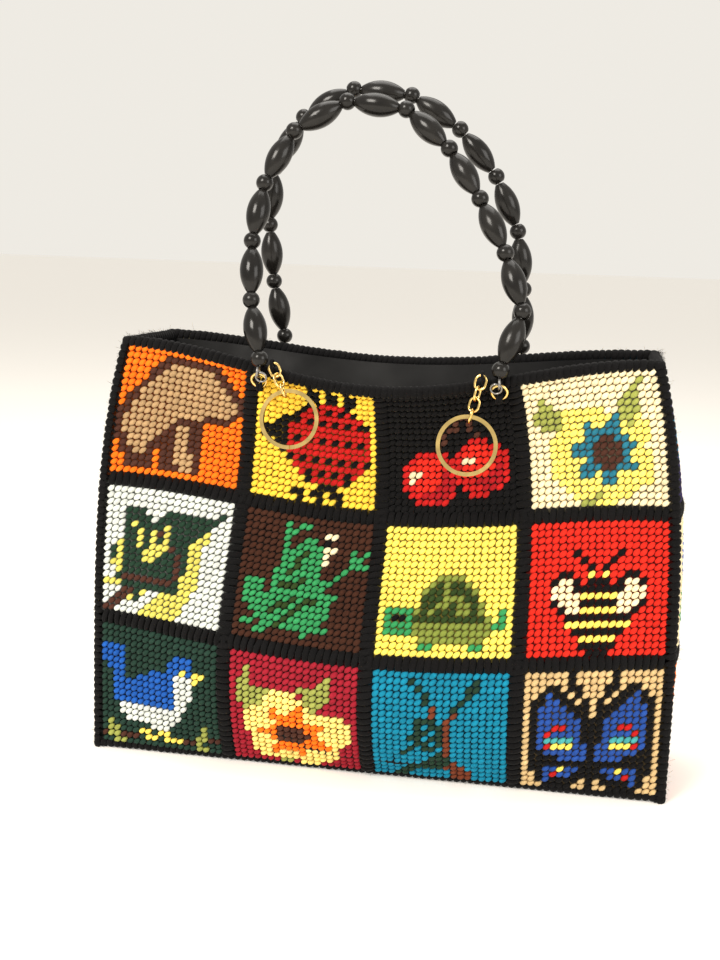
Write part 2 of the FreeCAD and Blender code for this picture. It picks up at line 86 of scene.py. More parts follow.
# sRGB colours of the wool
WOOL = {
    "black": (10, 9, 10), "orange": (252, 118, 22), "tan": (176, 144, 104),
    "bark": (72, 42, 32), "yellow": (243, 202, 66), "red": (184, 26, 24),
    "cream": (238, 222, 182), "primrose": (248, 228, 112), "petrol": (38, 110, 132),
    "olive": (152, 158, 78), "white": (214, 218, 212), "pine": (30, 54, 40),
    "lime": (212, 202, 96), "frog": (50, 142, 84), "cocoa": (62, 34, 22),
    "lemon": (250, 226, 100), "moss": (44, 62, 26), "sage": (122, 134, 58),
    "scarlet": (212, 40, 26), "blue": (30, 88, 172), "spruce": (32, 56, 46),
    "crimson": (152, 28, 44), "apricot": (250, 224, 128), "rust": (112, 54, 32),
    "teal": (16, 124, 154), "camel": (204, 174, 124), "navy": (36, 72, 146),
    "purple": (46, 34, 82), "aqua": (70, 160, 160), "maroon": (160, 20, 26),
}


def linear(name):
    """A wool colour as linear light."""
    channels = np.array(WOOL[name]) / 255
    return np.where(channels < 0.04045, channels / 12.92, ((channels + 0.055) / 1.055) ** 2.4)


# ---------------------------------------------------------------- the walls

class BroadWall:
    """A wall across the bag. It keeps its height along the cloth, so where it bows it dips.

    On every wall, across runs from -1 to 1, left to right as seen from outside."""

    half = HALF_WIDTH
    columns = COLUMNS

    def __init__(self, facing, shape):
        self.facing = facing
        self.lean, self.wave, self.skew = shape

    def point(self, across, up):
        across, up = np.broadcast_arrays(np.asarray(across, float), np.asarray(up, float))
        share = up / HEIGHT
        bow = 1 - across ** 2
        reach = self.lean * (1 + self.skew * across)
        out = (reach * share + self.wave * np.sin(2 * np.pi * share)) * bow
        steps = 24
        rise = np.zeros(share.shape)
        for step in range(steps):
            middle = share * (step + 0.5) / steps
            slope = (reach + self.wave * 2 * np.pi * np.cos(2 * np.pi * middle)) * bow
            rise += np.sqrt(1 - (slope / HEIGHT) ** 2) * up / steps
        corner = HALF_WIDTH - RIM_PINCH * share ** 4
        sideways = -self.facing * across * (corner - RIM_GATHER * share ** 4 * bow)
        return np.stack([sideways, self.facing * (HALF_DEPTH + out), rise], -1)


class SideWall:
    """A wall one square wide at an end of the bag, a little bulged."""

    half = HALF_DEPTH
    columns = 1

    def __init__(self, facing):
        self.facing = facing

    def point(self, across, up):
        across, up = np.broadcast_arrays(np.asarray(across, float), np.asarray(up, float))
        share = up / HEIGHT
        out = SIDE_BULGE * np.sin(np.pi * share) * (1 - across ** 2)
        corner = HALF_WIDTH - RIM_PINCH * share ** 4
        return np.stack([self.facing * (corner + out), self.facing * across * HALF_DEPTH, up], -1)


class BasePanel:
    """The base seen from below: across runs along X, and up from the back edge to the front."""

    def point(self, across, up):
        across, up = np.broadcast_arrays(np.asarray(across, float), np.asarray(up, float))
        return np.stack([across * HALF_WIDTH, HALF_DEPTH - up, np.zeros(up.shape)], -1)


def unit(vectors):
    return vectors / np.maximum(np.linalg.norm(vectors, axis=-1, keepdims=True), 1e-12)


def axes(wall, across, up):
    """Unit vectors along a wall, up it and out of it."""
    step = 0.01
    rise = 0.5 * MM
    along = unit(wall.point(np.add(across, step), up) - wall.point(np.subtract(across, step), up))
    upward = unit(wall.point(across, np.add(up, rise)) - wall.point(across, np.subtract(up, rise)))
    outward = unit(np.cross(along, upward))
    return along, np.cross(outward, along), outward


# ---------------------------------------------------------------- mesh building

def mesh_piece(name, body, verts, faces, materials, colours=None, uvs=None, smooth=True):
    """A piece from arrays: faces is a list of index arrays, one array for each corner count."""
    mesh = bpy.data.meshes.new(name)
    verts = np.asarray(verts, np.float32)
    faces = [np.asarray(f, np.int32) for f in faces if len(f)]
    corners = np.concatenate([f.ravel() for f in faces])
    counts = np.concatenate([np.full(len(f), f.shape[1]) for f in faces])
    starts = np.concatenate([[0], np.cumsum(counts)[:-1]]).astype(np.int32)
    mesh.vertices.add(len(verts))
    mesh.vertices.foreach_set("co", verts.ravel())
    mesh.loops.add(len(corners))
    mesh.loops.foreach_set("vertex_index", corners)
    mesh.polygons.add(len(starts))
    mesh.polygons.foreach_set("loop_start", starts)
    mesh.update(calc_edges=True)
    mesh.validate()
    if smooth:
        mesh.shade_smooth()
    if colours is not None:
        layer = mesh.color_attributes.new("wool", "FLOAT_COLOR", "POINT")
        rgba = np.ones((len(verts), 4), np.float32)
        rgba[:, :3] = colours
        layer.data.foreach_set("color", rgba.ravel())
    if uvs is not None:
        layer = mesh.uv_layers.new(name="strand")
        layer.data.foreach_set("uv", np.asarray(uvs, np.float32)[corners].ravel())
    piece = bpy.data.objects.new(name, mesh)
    bpy.context.scene.collection.objects.link(piece)
    for material in materials:
        mesh.materials.append(material)
    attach(piece, body)
    return piece


def strands(paths, normals, widths, heights, sides=8):
    """Closed strands of yarn: vertices, faces and strand coordinates.

    paths is strands x points x 3; the first and last point of each are its tips, and the
    points between carry oval rings, wide across the normal and high along it."""
    count, points = paths.shape[:2]
    normals = np.broadcast_to(normals, paths.shape)
    tangent = unit(np.gradient(paths, axis=1))
    side = unit(np.cross(tangent, normals))
    lift = np.cross(side, tangent)
    rings = points - 2
    angle = 2 * np.pi * np.arange(sides) / sides
    widths = np.broadcast_to(widths, (count, rings))[:, :, None, None]
    heights = np.broadcast_to(heights, (count, rings))[:, :, None, None]
    ring = (paths[:, 1:-1, None]
            + side[:, 1:-1, None] * np.cos(angle)[:, None] * widths
            + lift[:, 1:-1, None] * np.sin(angle)[:, None] * heights)
    body = ring.reshape(count, rings * sides, 3)
    verts = np.concatenate([body, paths[:, :1], paths[:, -1:]], 1)
    per = rings * sides + 2
    quads, tris = [], []
    for r in range(rings - 1):
        for s in range(sides):
            t = (s + 1) % sides
            quads.append((r * sides + s, (r + 1) * sides + s, (r + 1) * sides + t, r * sides + t))
    last = (rings - 1) * sides
    for s in range(sides):
        t = (s + 1) % sides
        tris.append((per - 2, s, t))
        tris.append((per - 1, last + t, last + s))
    offset = (np.arange(count) * per)[:, None, None]
    faces = [(np.array(quads)[None] + offset).reshape(-1, 4),
             (np.array(tris)[None] + offset).reshape(-1, 3)]
    run = np.linspace(0, 1, points)
    uv = np.stack([np.repeat(run[1:-1], sides), np.tile(np.arange(sides) / sides, rings)], -1)
    uv = np.concatenate([uv, [[0, 0.5], [1, 0.5]]])
    return verts.reshape(-1, 3), faces, np.tile(uv, (count, 1)), per


def joined(parts):
    """Several (vertices, faces, colours, uvs) as one."""
    verts, quads, tris, colours, uvs = [], [], [], [], []
    base = 0
    for part_verts, part_faces, part_colours, part_uvs in parts:
        for f in part_faces:
            if len(f):
                (quads if f.shape[1] == 4 else tris).append(f + base)
        verts.append(part_verts)
        colours.append(np.broadcast_to(part_colours, part_verts.shape))
        uvs.append(part_uvs)
        base += len(part_verts)
    faces = [np.concatenate(group) for group in (quads, tris) if group]
    return np.concatenate(verts), faces, np.concatenate(colours), np.concatenate(uvs)


def yarn_piece(name, parts, replaced=None, grounded=False):
    """A piece of the bag body in coloured wool, from parts as for joined()."""
    verts, faces, colours, uvs = joined(parts)
    if grounded:
        verts[:, 2] = np.maximum(verts[:, 2], LOWEST)
    piece = mesh_piece(name, "bag", verts, faces, [wool], colours, uvs)
    if replaced:
        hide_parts(replaced)


def sheet_mesh(front, back):
    """A closed slab between two equal grids of points."""
    rows, cols = front.shape[:2]
    verts = np.concatenate([front.reshape(-1, 3), back.reshape(-1, 3)])
    index = np.arange(rows * cols).reshape(rows, cols)
    a, b, c, d = index[:-1, :-1], index[:-1, 1:], index[1:, 1:], index[1:, :-1]
    face = np.stack([a, b, c, d], -1).reshape(-1, 4)
    other = face[:, ::-1] + rows * cols
    rim = np.concatenate([index[0], index[1:, -1], index[-1, -2::-1], index[-2:0:-1, 0]])
    ahead = np.roll(rim, -1)
    wall = np.stack([ahead, rim, rim + rows * cols, ahead + rows * cols], -1)
    return verts, [np.concatenate([face, other, wall])]


# ---------------------------------------------------------------- materials

def new_material(name):
    material = bpy.data.materials.new(name)
    material.use_nodes = True
    tree = material.node_tree
    shader = tree.nodes["Principled BSDF"]
    return material, tree, shader


def node(tree, kind, inputs=None, **settings):
    made = tree.nodes.new(kind)
    for key, value in settings.items():
        setattr(made, key, value)
    for key, value in (inputs or {}).items():
        made.inputs[key].default_value = value
    return made


def noise(tree, scale, detail=3.0, coords="Object"):
    source = node(tree, "ShaderNodeTexCoord")
    made = node(tree, "ShaderNodeTexNoise", {"Scale": scale, "Detail": detail})
    tree.links.new(source.outputs[coords], made.inputs["Vector"])
    return made


def ramp(tree, value, low, high, out_low, out_high):
    made = node(tree, "ShaderNodeMapRange", {"From Min": low, "From Max": high,
                                             "To Min": out_low, "To Max": out_high})
    tree.links.new(value, made.inputs["Value"])
    return made.outputs["Result"]


def maths(tree, operation, *values):
    """The result of a math node, from numbers or other results."""
    made = node(tree, "ShaderNodeMath", operation=operation)
    for socket, value in zip(made.inputs, values):
        if isinstance(value, float):
            socket.default_value = value
        else:
            tree.links.new(value, socket)
    return made.outputs[0]


def bumped(tree, shader, height, strength, distance):
    bump = node(tree, "ShaderNodeBump", {"Strength": strength, "Distance": distance})
    tree.links.new(height, bump.inputs["Height"])
    tree.links.new(bump.outputs["Normal"], shader.inputs["Normal"])


def tinted(tree, colour, factor):
    """A colour times a grey factor."""
    made = node(tree, "ShaderNodeMix", {"Factor": 1.0}, data_type="RGBA", blend_type="MULTIPLY")
    tree.links.new(colour, made.inputs["A"])
    tree.links.new(factor, made.inputs["B"])
    return made.outputs["Result"]


def wool_material():
    """Plied tapestry wool: its colour is in the mesh, with tone, ply twist and fine fibre added."""
    material, tree, shader = new_material("tapestry_wool")
    paint = node(tree, "ShaderNodeVertexColor", layer_name="wool")
    tone = noise(tree, 420.0, 2.0)
    patch = noise(tree, 28.0, 3.0)
    tone_share = ramp(tree, tone.outputs["Fac"], 0.3, 0.7, 0.86, 1.12)
    patch_share = ramp(tree, patch.outputs["Fac"], 0.3, 0.7, 0.93, 1.05)
    colour = tinted(tree, tinted(tree, paint.outputs["Color"], tone_share), patch_share)
    tree.links.new(colour, shader.inputs["Base Color"])
    strand = node(tree, "ShaderNodeUVMap", uv_map="strand")
    split = node(tree, "ShaderNodeSeparateXYZ")
    tree.links.new(strand.outputs["UV"], split.inputs["Vector"])
    turns = maths(tree, "MULTIPLY", split.outputs["X"], PLY_TURNS)
    angle = maths(tree, "ADD", turns, split.outputs["Y"])
    ply = maths(tree, "SINE", maths(tree, "MULTIPLY", angle, 4 * math.pi))
    fibre = noise(tree, 2600.0, 4.0)
    height = maths(tree, "ADD", maths(tree, "MULTIPLY", ply, 0.22), fibre.outputs["Fac"])
    bumped(tree, shader, height, 0.55, 0.25 * MM)
    tree.links.new(ramp(tree, fibre.outputs["Fac"], 0.3, 0.7, 0.78, 0.95),
                   shader.inputs["Roughness"])
    shader.inputs["Sheen Weight"].default_value = 0.03
    shader.inputs["Sheen Roughness"].default_value = 0.5
    shader.inputs["Specular IOR Level"].default_value = 0.14
    return material


def satin_material():
    """Black satin lining: a fine weave, a soft gloss and a slight crease pattern."""
    material, tree, shader = new_material("lining_satin")
    patch = noise(tree, 60.0, 4.0)
    dark = ramp(tree, patch.outputs["Fac"], 0.3, 0.7, 0.75, 1.2)
    base = node(tree, "ShaderNodeRGB")
    base.outputs[0].default_value = (0.004, 0.0038, 0.004, 1)
    tree.links.new(tinted(tree, base.outputs[0], dark), shader.inputs["Base Color"])
    source = node(tree, "ShaderNodeTexCoord")
    weave = node(tree, "ShaderNodeTexWave", {"Scale": 900.0, "Distortion": 1.0, "Detail": 1.0},
                 bands_direction="Z")
    tree.links.new(source.outputs["Object"], weave.inputs["Vector"])
    bumped(tree, shader, weave.outputs["Fac"], 0.25, 0.1 * MM)
    tree.links.new(ramp(tree, patch.outputs["Fac"], 0.3, 0.7, 0.42, 0.6),
                   shader.inputs["Roughness"])
    shader.inputs["Specular IOR Level"].default_value = 0.15
    return material


def metal_material(name, colour, rough_low, rough_high, scale):
    """Plated or drawn metal: slight tarnish in patches and fine scratches."""
    material, tree, shader = new_material(name)
    shader.inputs["Metallic"].default_value = 1.0
    patch = noise(tree, scale, 4.0)
    base = node(tree, "ShaderNodeRGB")
    base.outputs[0].default_value = (*colour, 1)
    wear = ramp(tree, patch.outputs["Fac"], 0.35, 0.7, 0.82, 1.05)
    tree.links.new(tinted(tree, base.outputs[0], wear), shader.inputs["Base Color"])
    tree.links.new(ramp(tree, patch.outputs["Fac"], 0.3, 0.7, rough_low, rough_high),
                   shader.inputs["Roughness"])
    scratch = noise(tree, 2400.0, 2.0)
    bumped(tree, shader, scratch.outputs["Fac"], 0.06, 0.05 * MM)
    return material


def bead_material():
    """Polished black beads, nearly mirror smooth, with a faint brown-grey cast."""
    material, tree, shader = new_material("bead_black")
    patch = noise(tree, 90.0, 3.0)
    base = node(tree, "ShaderNodeRGB")
    base.outputs[0].default_value = (0.011, 0.010, 0.009, 1)
    tree.links.new(tinted(tree, base.outputs[0],
                          ramp(tree, patch.outputs["Fac"], 0.3, 0.7, 0.7, 1.3)),
                   shader.inputs["Base Color"])
    tree.links.new(ramp(tree, patch.outputs["Fac"], 0.3, 0.7, 0.16, 0.26),
                   shader.inputs["Roughness"])
    shader.inputs["Specular IOR Level"].default_value = 0.24
    shader.inputs["Coat Weight"].default_value = 0.06
    shader.inputs["Coat Roughness"].default_value = 0.08
    return material


wool = wool_material()
satin = satin_material()
gold = metal_material("gold_plate", (0.92, 0.66, 0.24), 0.10, 0.22, 160.0)
steel = metal_material("drawn_steel", (0.28, 0.27, 0.26), 0.24, 0.38, 160.0)

# ---------------------------------------------------------------- charts


class Chart:
    """A square picture in stitches: x from the left and y from the top, in stitch centres."""

    def __init__(self, ground):
        self.cells = [[ground] * CHART for _ in range(CHART)]
        self.ground = ground

    def dots(self, colour, *places):
        for x, y in places:
            if 0 <= round(x) < CHART and 0 <= round(y) < CHART:
                self.cells[round(y)][round(x)] = colour
        return self

    def oval(self, colour, x, y, half_width, half_height):
        for row in range(CHART):
            for column in range(CHART):
                if ((column - x) / half_width) ** 2 + ((row - y) / half_height) ** 2 <= 1:
                    self.cells[row][column] = colour
        return self

    def line(self, colour, *points):
        for (x0, y0), (x1, y1) in zip(points, points[1:]):
            steps = max(int(2 * max(abs(x1 - x0), abs(y1 - y0))), 1)
            for k in range(steps + 1):
                share = k / steps
                self.dots(colour, (x0 + (x1 - x0) * share, y0 + (y1 - y0) * share))
        return self

    def area(self, colour, *corners):
        for row in range(CHART):
            for column in range(CHART):
                within = False
                for (x0, y0), (x1, y1) in zip(corners, corners[1:] + corners[:1]):
                    if (y0 > row) != (y1 > row):
                        if column < x0 + (row - y0) * (x1 - x0) / (y1 - y0):
                            within = not within
                if within:
                    self.cells[row][column] = colour
        return self

    def star(self, colour, x, y, reach, waist, points, turn=0.0):
        corners = []
        for k in range(2 * points):
            radius = waist if k % 2 else reach
            angle = turn + math.pi * k / points
            corners.append((x + radius * math.sin(angle), y - radius * math.cos(angle)))
        return self.area(colour, *corners)

    def mirrored(self):
        """The left half copied to the right."""
        for row in self.cells:
            for column in range(CHART // 2):
                row[CHART - 1 - column] = row[column]
        return self


def bear():
    c = Chart("orange")
    c.area("bark", (-0.3, 9), (1.6, 5.4), (6.6, 0.4), (14.4, 0.4), (18.4, 5), (18.4, 7.6),
           (15.6, 9.6), (12.4, 9.8), (12.4, 13.6), (13, 14), (13, 18), (7, 18), (7, 14.4),
           (5.6, 14), (5.2, 17), (1.6, 17.6), (1, 15), (-0.3, 12.5))
    c.area("tan", (1, 9.4), (2.6, 6), (7, 1.4), (13.4, 1.4), (14.6, 3.4), (17.2, 5.2),
           (17.2, 7.6), (15.4, 8.6), (9.4, 9.4), (5, 13.6), (3.6, 15.6), (2.4, 14.6), (1, 12.6))
    return c.area("tan", (8.2, 10.6), (10.2, 10.6), (10.2, 14), (11.4, 14.2), (11.4, 17.2),
                  (9.2, 17.2), (8.2, 14.4))


def ladybird():
    c = Chart("yellow")
    for x in (8, 11, 14):
        c.line("black", (x, 0), (x + 0.6, 2.2)).line("black", (x - 1, 16.6), (x - 1.4, 18))
        c.dots("black", (x + 1.4, 0.6), (x - 2.2, 17))
    c.oval("black", 11, 9.1, 7.0, 7.0)
    c.oval("red", 11.1, 9.1, 6.6, 6.4)
    c.area("black", (0.4, 8), (4.6, 5.6), (4.6, 11.6), (2, 10.4), (3, 9.4), (0.4, 9))
    for x in range(6, 18, 2):
        c.dots("black", (x, 6), (x + 1, 12), (x, 9))
    for x in range(8, 15, 2):
        c.dots("black", (x + 1, 4), (x, 14))
    return c


def cherries():
    c = Chart("black")
    c.line("bark", (11.4, 4), (8.4, 7), (6.6, 9.4)).line("bark", (11.4, 4), (12.4, 6), (13, 8.4))
    for x, y in ((5.8, 13.6), (13.4, 12)):
        c.oval("red", x, y, 4.1, 4.3)
        c.oval("maroon", x + 1.1, y + 1.2, 2.4, 2.3)
        c.oval("scarlet", x - 0.7, y - 0.9, 2.7, 2.6)
    return c.dots("cream", (3, 13), (4, 13), (3, 14), (11, 11), (12, 11))


def daisy():
    c = Chart("cream")
    for x, y, rx, ry in ((6.4, 6.6, 3.4, 2.6), (13.2, 8, 3.4, 3.2), (5, 11.4, 3, 4),
                         (14.4, 13, 2.4, 3), (9.4, 15.6, 4.8, 2.6), (10, 10, 5.6, 5)):
        c.oval("primrose", x, y, rx, ry)
    c.area("olive", (2.2, 1.6), (3.4, 4), (5, 4.6), (5, 7.4), (2.6, 7.6), (0.4, 5.4))
    c.area("olive", (16.2, 0.4), (15.6, 4.6), (14, 7.6), (11.6, 6), (13.2, 3.2))
    c.line("olive", (7.4, 18), (8.6, 17))
    c.star("petrol", 10.2, 11, 5.4, 3.0, 7, 0.35)
    return c.oval("bark", 10.2, 11, 2.1, 2.2)


def maple():
    c = Chart("white")
    c.area("lime", (16, 3.2), (14.4, 9), (14.6, 13), (11.4, 18.2), (4.8, 18.2), (9.4, 14),
           (11.6, 9.6), (13, 5.4))
    c.area("pine", (2.4, 3), (5.4, 3), (6.6, 4.6), (9.4, 2.2), (14, 3), (18.2, 1.4), (15, 4.4),
           (12.6, 7), (12.2, 11), (11, 14.4), (7, 14.8), (5, 16.8), (2.2, 13.8), (0, 9.4), (2.4, 6.6))
    c.line("bark", (3, 12.6), (10.4, 13)).line("bark", (8.4, 6), (10.6, 9), (10.8, 12))
    c.line("lime", (4.4, 4.6), (4.8, 7.6), (6.4, 10), (8.4, 8.4), (9.4, 4.8))
    c.line("lime", (6.6, 6.4), (7, 8.6)).line("lime", (2.4, 8.4), (1.4, 11.4), (2.4, 11.8))
    c.line("lime", (5.8, 15), (6.4, 15)).line("lime", (0.2, 13.6), (2.8, 14.6), (4.4, 16.4))
    return c.line("bark", (0, 18), (2.4, 16.4), (4, 15))


def frog():
    c = Chart("cocoa")
    c.line("frog", (6, 6), (6, 1), (6.8, 2.4), (8.6, 1))
    c.line("frog", (12, 9.6), (15.6, 6.2), (16, 4.2)).line("frog", (15.6, 6.4), (18, 6))
    c.line("frog", (16.4, 5.2), (18, 4.2))
    c.area("frog", (5.6, 5), (9.4, 2.6), (11.4, 3.6), (11.4, 8), (13, 10.4), (14.4, 10.6),
           (13.4, 13.6), (10.8, 17), (4, 17), (0.2, 12.4), (0.2, 9.8), (3.4, 9.8), (4.4, 12),
           (4.6, 8.6))
    c.line("frog", (0.6, 16.4), (4, 16.6)).line("frog", (10, 16.4), (13.4, 16.2))
    c.dots("frog", (3, 17.4), (10, 17.4))
    for x, y in ((8.4, 5.8), (7.4, 8), (6.2, 10.4), (8.4, 10.2), (7, 12.6), (10.4, 12.4),
                 (5, 14), (8, 14.2), (6, 15.6)):
        c.dots("moss", (x, y), (x + 0.8, y - 0.8))
    c.line("cream", (12.8, 1.8), (11.8, 2.4), (11.6, 6.4)).dots("cream", (13, 4))
    return c.dots("black", (12.4, 3))


def tortoise():
    c = Chart("lemon")
    c.line("frog", (15.2, 15), (16.6, 14), (17.4, 12.4)).dots("frog", (17, 13.4))
    c.area("frog", (5.4, 18), (6.4, 15.6), (8.4, 15.8), (6.8, 18))
    c.area("frog", (11.6, 15.8), (13.6, 16), (15, 18), (12.8, 17.8))
    c.oval("frog", 2.6, 13.6, 2.4, 2.2)
    c.area("sage", (4.2, 13.4), (5.6, 9.4), (7.6, 6.6), (11.6, 6.6), (13.4, 9.4), (15.4, 13.4),
           (15.6, 15), (13.4, 16.6), (6, 16.6), (4.4, 15.4))
    c.area("moss", (4.8, 13.4), (6, 9.6), (7.8, 7.6), (11.4, 7.6), (13, 9.8), (14.6, 13.4))
    c.line("sage", (9.4, 8), (9.2, 10), (7.4, 11.6)).line("sage", (10.4, 10), (11, 12), (12, 11.4))
    return c.dots("black", (2, 13.2), (3, 13.2))


def bee():
    c = Chart("scarlet")
    c.line("black", (6, 4), (8.4, 6.4))
    c.area("black", (2.4, 7.6), (4.6, 5.6), (6.4, 7.6), (8, 10.4), (8, 13.4), (5.4, 13.4),
           (2.4, 11.6))
    c.area("cream", (3, 8.2), (4.6, 7.2), (6.4, 9.6), (7.2, 11.4), (7, 12.6), (5, 12.4), (3, 10.4))
    c.area("black", (7.6, 7.6), (9.5, 7), (9.5, 9.8), (7.6, 9.8))
    for row, reach in ((10, 2), (12, 2), (14, 4), (16, 2)):
        c.line("lemon", (9 - reach, row), (9, row))
    for row, reach in ((11, 2), (13, 4), (15, 3), (17, 2), (18, 1)):
        c.line("black", (9 - reach, row), (9, row))
    return c.dots("lemon", (8, 7)).mirrored()


def bird():
    c = Chart("spruce")
    c.line("bark", (0, 17.4), (5, 17.4)).line("bark", (13, 17), (18, 16))
    c.area("blue", (-0.4, 3), (3.4, 2.6), (3.6, 8), (8, 6), (10.4, 5), (11.6, 3), (14.2, 2.8),
           (14.2, 5), (12, 7), (11.4, 11), (3, 12.4), (1.4, 10.6), (2, 7), (-0.4, 5.6))
    c.area("white", (12, 5.2), (14.4, 5.2), (14.4, 8), (12.8, 12.4), (10, 15.2), (5, 14.8),
           (2.4, 13.6), (2.4, 12), (6, 11.4), (11, 11.2))
    c.area("lemon", (14, 4.6), (16.6, 4.6), (15.2, 7)).dots("lemon", (13, 5))
    c.line("lemon", (6.6, 15.6), (6, 16.4)).line("lemon", (9.4, 15.6), (10.4, 16.6))
    c.line("lemon", (7, 17.4), (8.4, 17.4)).line("lemon", (11, 17.4), (12.2, 17.4))
    for x, top in ((1, 15), (2, 16), (15, 16), (16, 14)):
        c.line("olive", (x, top), (x, top + 1.6))
    return c.dots("olive", (3, 18), (16, 18))


def pansy():
    c = Chart("crimson")
    c.area("olive", (2.2, 1.4), (3, 4), (5.2, 4.4), (4.8, 7), (2.4, 8.6), (0.2, 6.6), (0.6, 4.6))
    c.area("olive", (14.8, 0.6), (15, 3.4), (13.6, 6), (11, 8), (10, 4), (12.6, 3))
    for x, y, rx, ry in ((7.6, 7, 3.2, 2.8), (5, 10.6, 3.6, 3.4), (14, 10.6, 3.4, 3.4),
                         (6.4, 15, 3.8, 2.8), (11.4, 15.2, 4.2, 3), (9.6, 11.4, 5, 5)):
        c.oval("apricot", x, y, rx, ry)
    c.star("orange", 9, 11.8, 5.8, 3.1, 7, 0.2)
    return c.oval("bark", 8.8, 12, 2.2, 1.8).line("olive", (7.4, 18), (8.4, 18))


def twig():
    c = Chart("teal")
    c.line("rust", (9.6, 8), (9.8, 12), (9.6, 14)).line("rust", (10, 8), (11, 6))
    c.line("pine", (5, 1), (6.8, 2.6), (7, 4)).line("pine", (14, 1), (12.6, 3), (11.2, 5))
    c.line("rust", (7.6, 4.8), (8, 6.8)).line("pine", (8.4, 7), (9, 9.4), (9.4, 11))
    for k in range(3):
        c.line("pine", (3.6 + k, 13 - 2.6 * k), (6 + 0.6 * k, 11.4 - 2.4 * k), (8.4, 11.6 - 1.6 * k))
    c.line("pine", (3.2, 18), (6, 15.8), (9.6, 15.4)).line("pine", (7, 15), (9, 13.4))
    c.area("pine", (7.8, 13.8), (10.2, 13), (10.4, 16.4), (8, 16.4))
    return c.area("rust", (10.2, 13.6), (13, 16), (13.2, 18.4), (11, 18.4), (10, 16))


def butterfly():
    c = Chart("camel")
    c.line("black", (5.6, 0), (6.6, 2), (8.4, 5.2))
    c.area("black", (1, 4), (3, 1), (5.2, 2.4), (7.6, 5.6), (9.5, 7), (9.5, 16), (7.6, 16.4),
           (6, 18.4), (2.6, 18), (1, 15.6), (0.6, 10))
    c.area("navy", (2, 4.4), (3.4, 2.2), (5, 4.4), (7.8, 7), (8.2, 13), (5.6, 13.4), (2, 11.6))
    c.area("navy", (2.2, 14.6), (7.4, 14.8), (6, 16.6), (3, 17.2))
    c.line("red", (3.4, 9), (4.6, 8)).line("aqua", (3.4, 10), (5.6, 10))
    c.line("lemon", (4.4, 11), (5.6, 11)).dots("red", (3, 11), (4, 16)).dots("lemon", (5, 15))
    c.area("black", (8.4, 6.4), (9.5, 6.4), (9.5, 18.4), (8.6, 18.4))
    return c.mirrored()


FRONT_CHARTS = (((bear,), (ladybird,), (cherries,), (daisy,)),
                ((maple,), (frog,), (tortoise,), (bee,)),
                ((bird,), (pansy,), (twig,), (butterfly,)))


def tulip(ground, petal, leaf):
    c = Chart(ground)
    c.line(leaf, (9, 18), (9, 9))
    c.area(leaf, (9, 17.6), (3, 14), (3.4, 10), (8, 13.6)).mirrored()
    c.area(petal, (4.6, 2.4), (7, 4.6), (9, 1.4), (11.4, 4.6), (13.6, 2.4), (13.6, 7), (9.2, 11),
           (4.6, 7))
    return c.line("cream", (9, 3.4), (9, 7))


def fish(ground, scale, fin):
    c = Chart(ground)
    c.area(fin, (13, 9), (18, 4.4), (17, 9), (18, 13.6))
    c.oval(scale, 8, 9, 6.8, 4.4).area(fin, (6, 5), (9, 1.6), (11.6, 5.4))
    c.dots("black", (4, 8)).line(fin, (6.6, 6), (7.4, 9), (6.6, 12))
    return c.line(fin, (10, 6.6), (10.8, 9), (10, 11.4))


def toadstool(ground, cap, stem):
    c = Chart(ground)
    c.area(stem, (7, 9), (11.4, 9), (12, 17.4), (6.4, 17.4))
    c.oval(cap, 9, 7.6, 8, 6).area(ground, (0, 9.6), (6.6, 9.6), (6.6, 14.4), (0, 14.4))
    c.area(ground, (12, 9.6), (18.6, 9.6), (18.6, 14.4), (12, 14.4))
    for x, y in ((5, 6), (9, 3.6), (13, 6), (9, 7.6)):
        c.oval("cream", x, y, 1.1, 1.1)
    return c.line("olive", (2, 18), (16, 18))


def sailing_boat(ground, sail, hull):
    c = Chart(ground)
    c.area(sail, (8.4, 1.6), (8.4, 11.4), (2, 11.4)).area("cream", (10, 3.6), (16, 11.4), (10, 11.4))
    c.line("bark", (9, 1), (9, 13)).area(hull, (1.4, 12.6), (17, 12.6), (14.4, 16), (4, 16))
    return c.line("white", (0, 17.4), (18, 17.4))


def sunflower(ground, petal, heart):
    c = Chart(ground)
    c.star(petal, 9, 8.4, 8.2, 5, 12).oval(heart, 9, 8.4, 3.2, 3.2)
    return c.line("olive", (9, 16), (9, 18)).line("olive", (6, 17.6), (9, 17.6))


def heart(ground, fill, edge):
    c = Chart(ground)
    for colour, grow in ((edge, 1.0), (fill, 0.0)):
        c.oval(colour, 5.8, 6.6, 3.4 + grow, 3.2 + grow).oval(colour, 12.2, 6.6, 3.4 + grow, 3.2 + grow)
        c.area(colour, (2.2 - grow, 7), (15.8 + grow, 7), (9, 16 + 1.4 * grow))
    return c


def strawberry(ground, fruit, leaf):
    c = Chart(ground)
    c.oval(fruit, 9, 8.6, 6.4, 4.4).area(fruit, (3.4, 10), (14.6, 10), (9, 18))
    for x, y in ((6, 8), (9, 9.6), (12, 8), (7.4, 12), (10.6, 12), (9, 14.8)):
        c.dots("lemon", (x, y))
    return c.star(leaf, 9, 4.6, 4.8, 1.8, 5, math.pi)


def owl(ground, coat, eye):
    c = Chart(ground)
    c.oval(coat, 9, 10, 6, 7.4).area(coat, (3.4, 1.6), (7, 4.4), (3.4, 7)).mirrored()
    c.oval(eye, 6.4, 6.8, 2, 2).dots("black", (6, 7)).mirrored()
    return c.dots("orange", (9, 8), (9, 9)).line("bark", (2, 17.6), (16, 17.6))


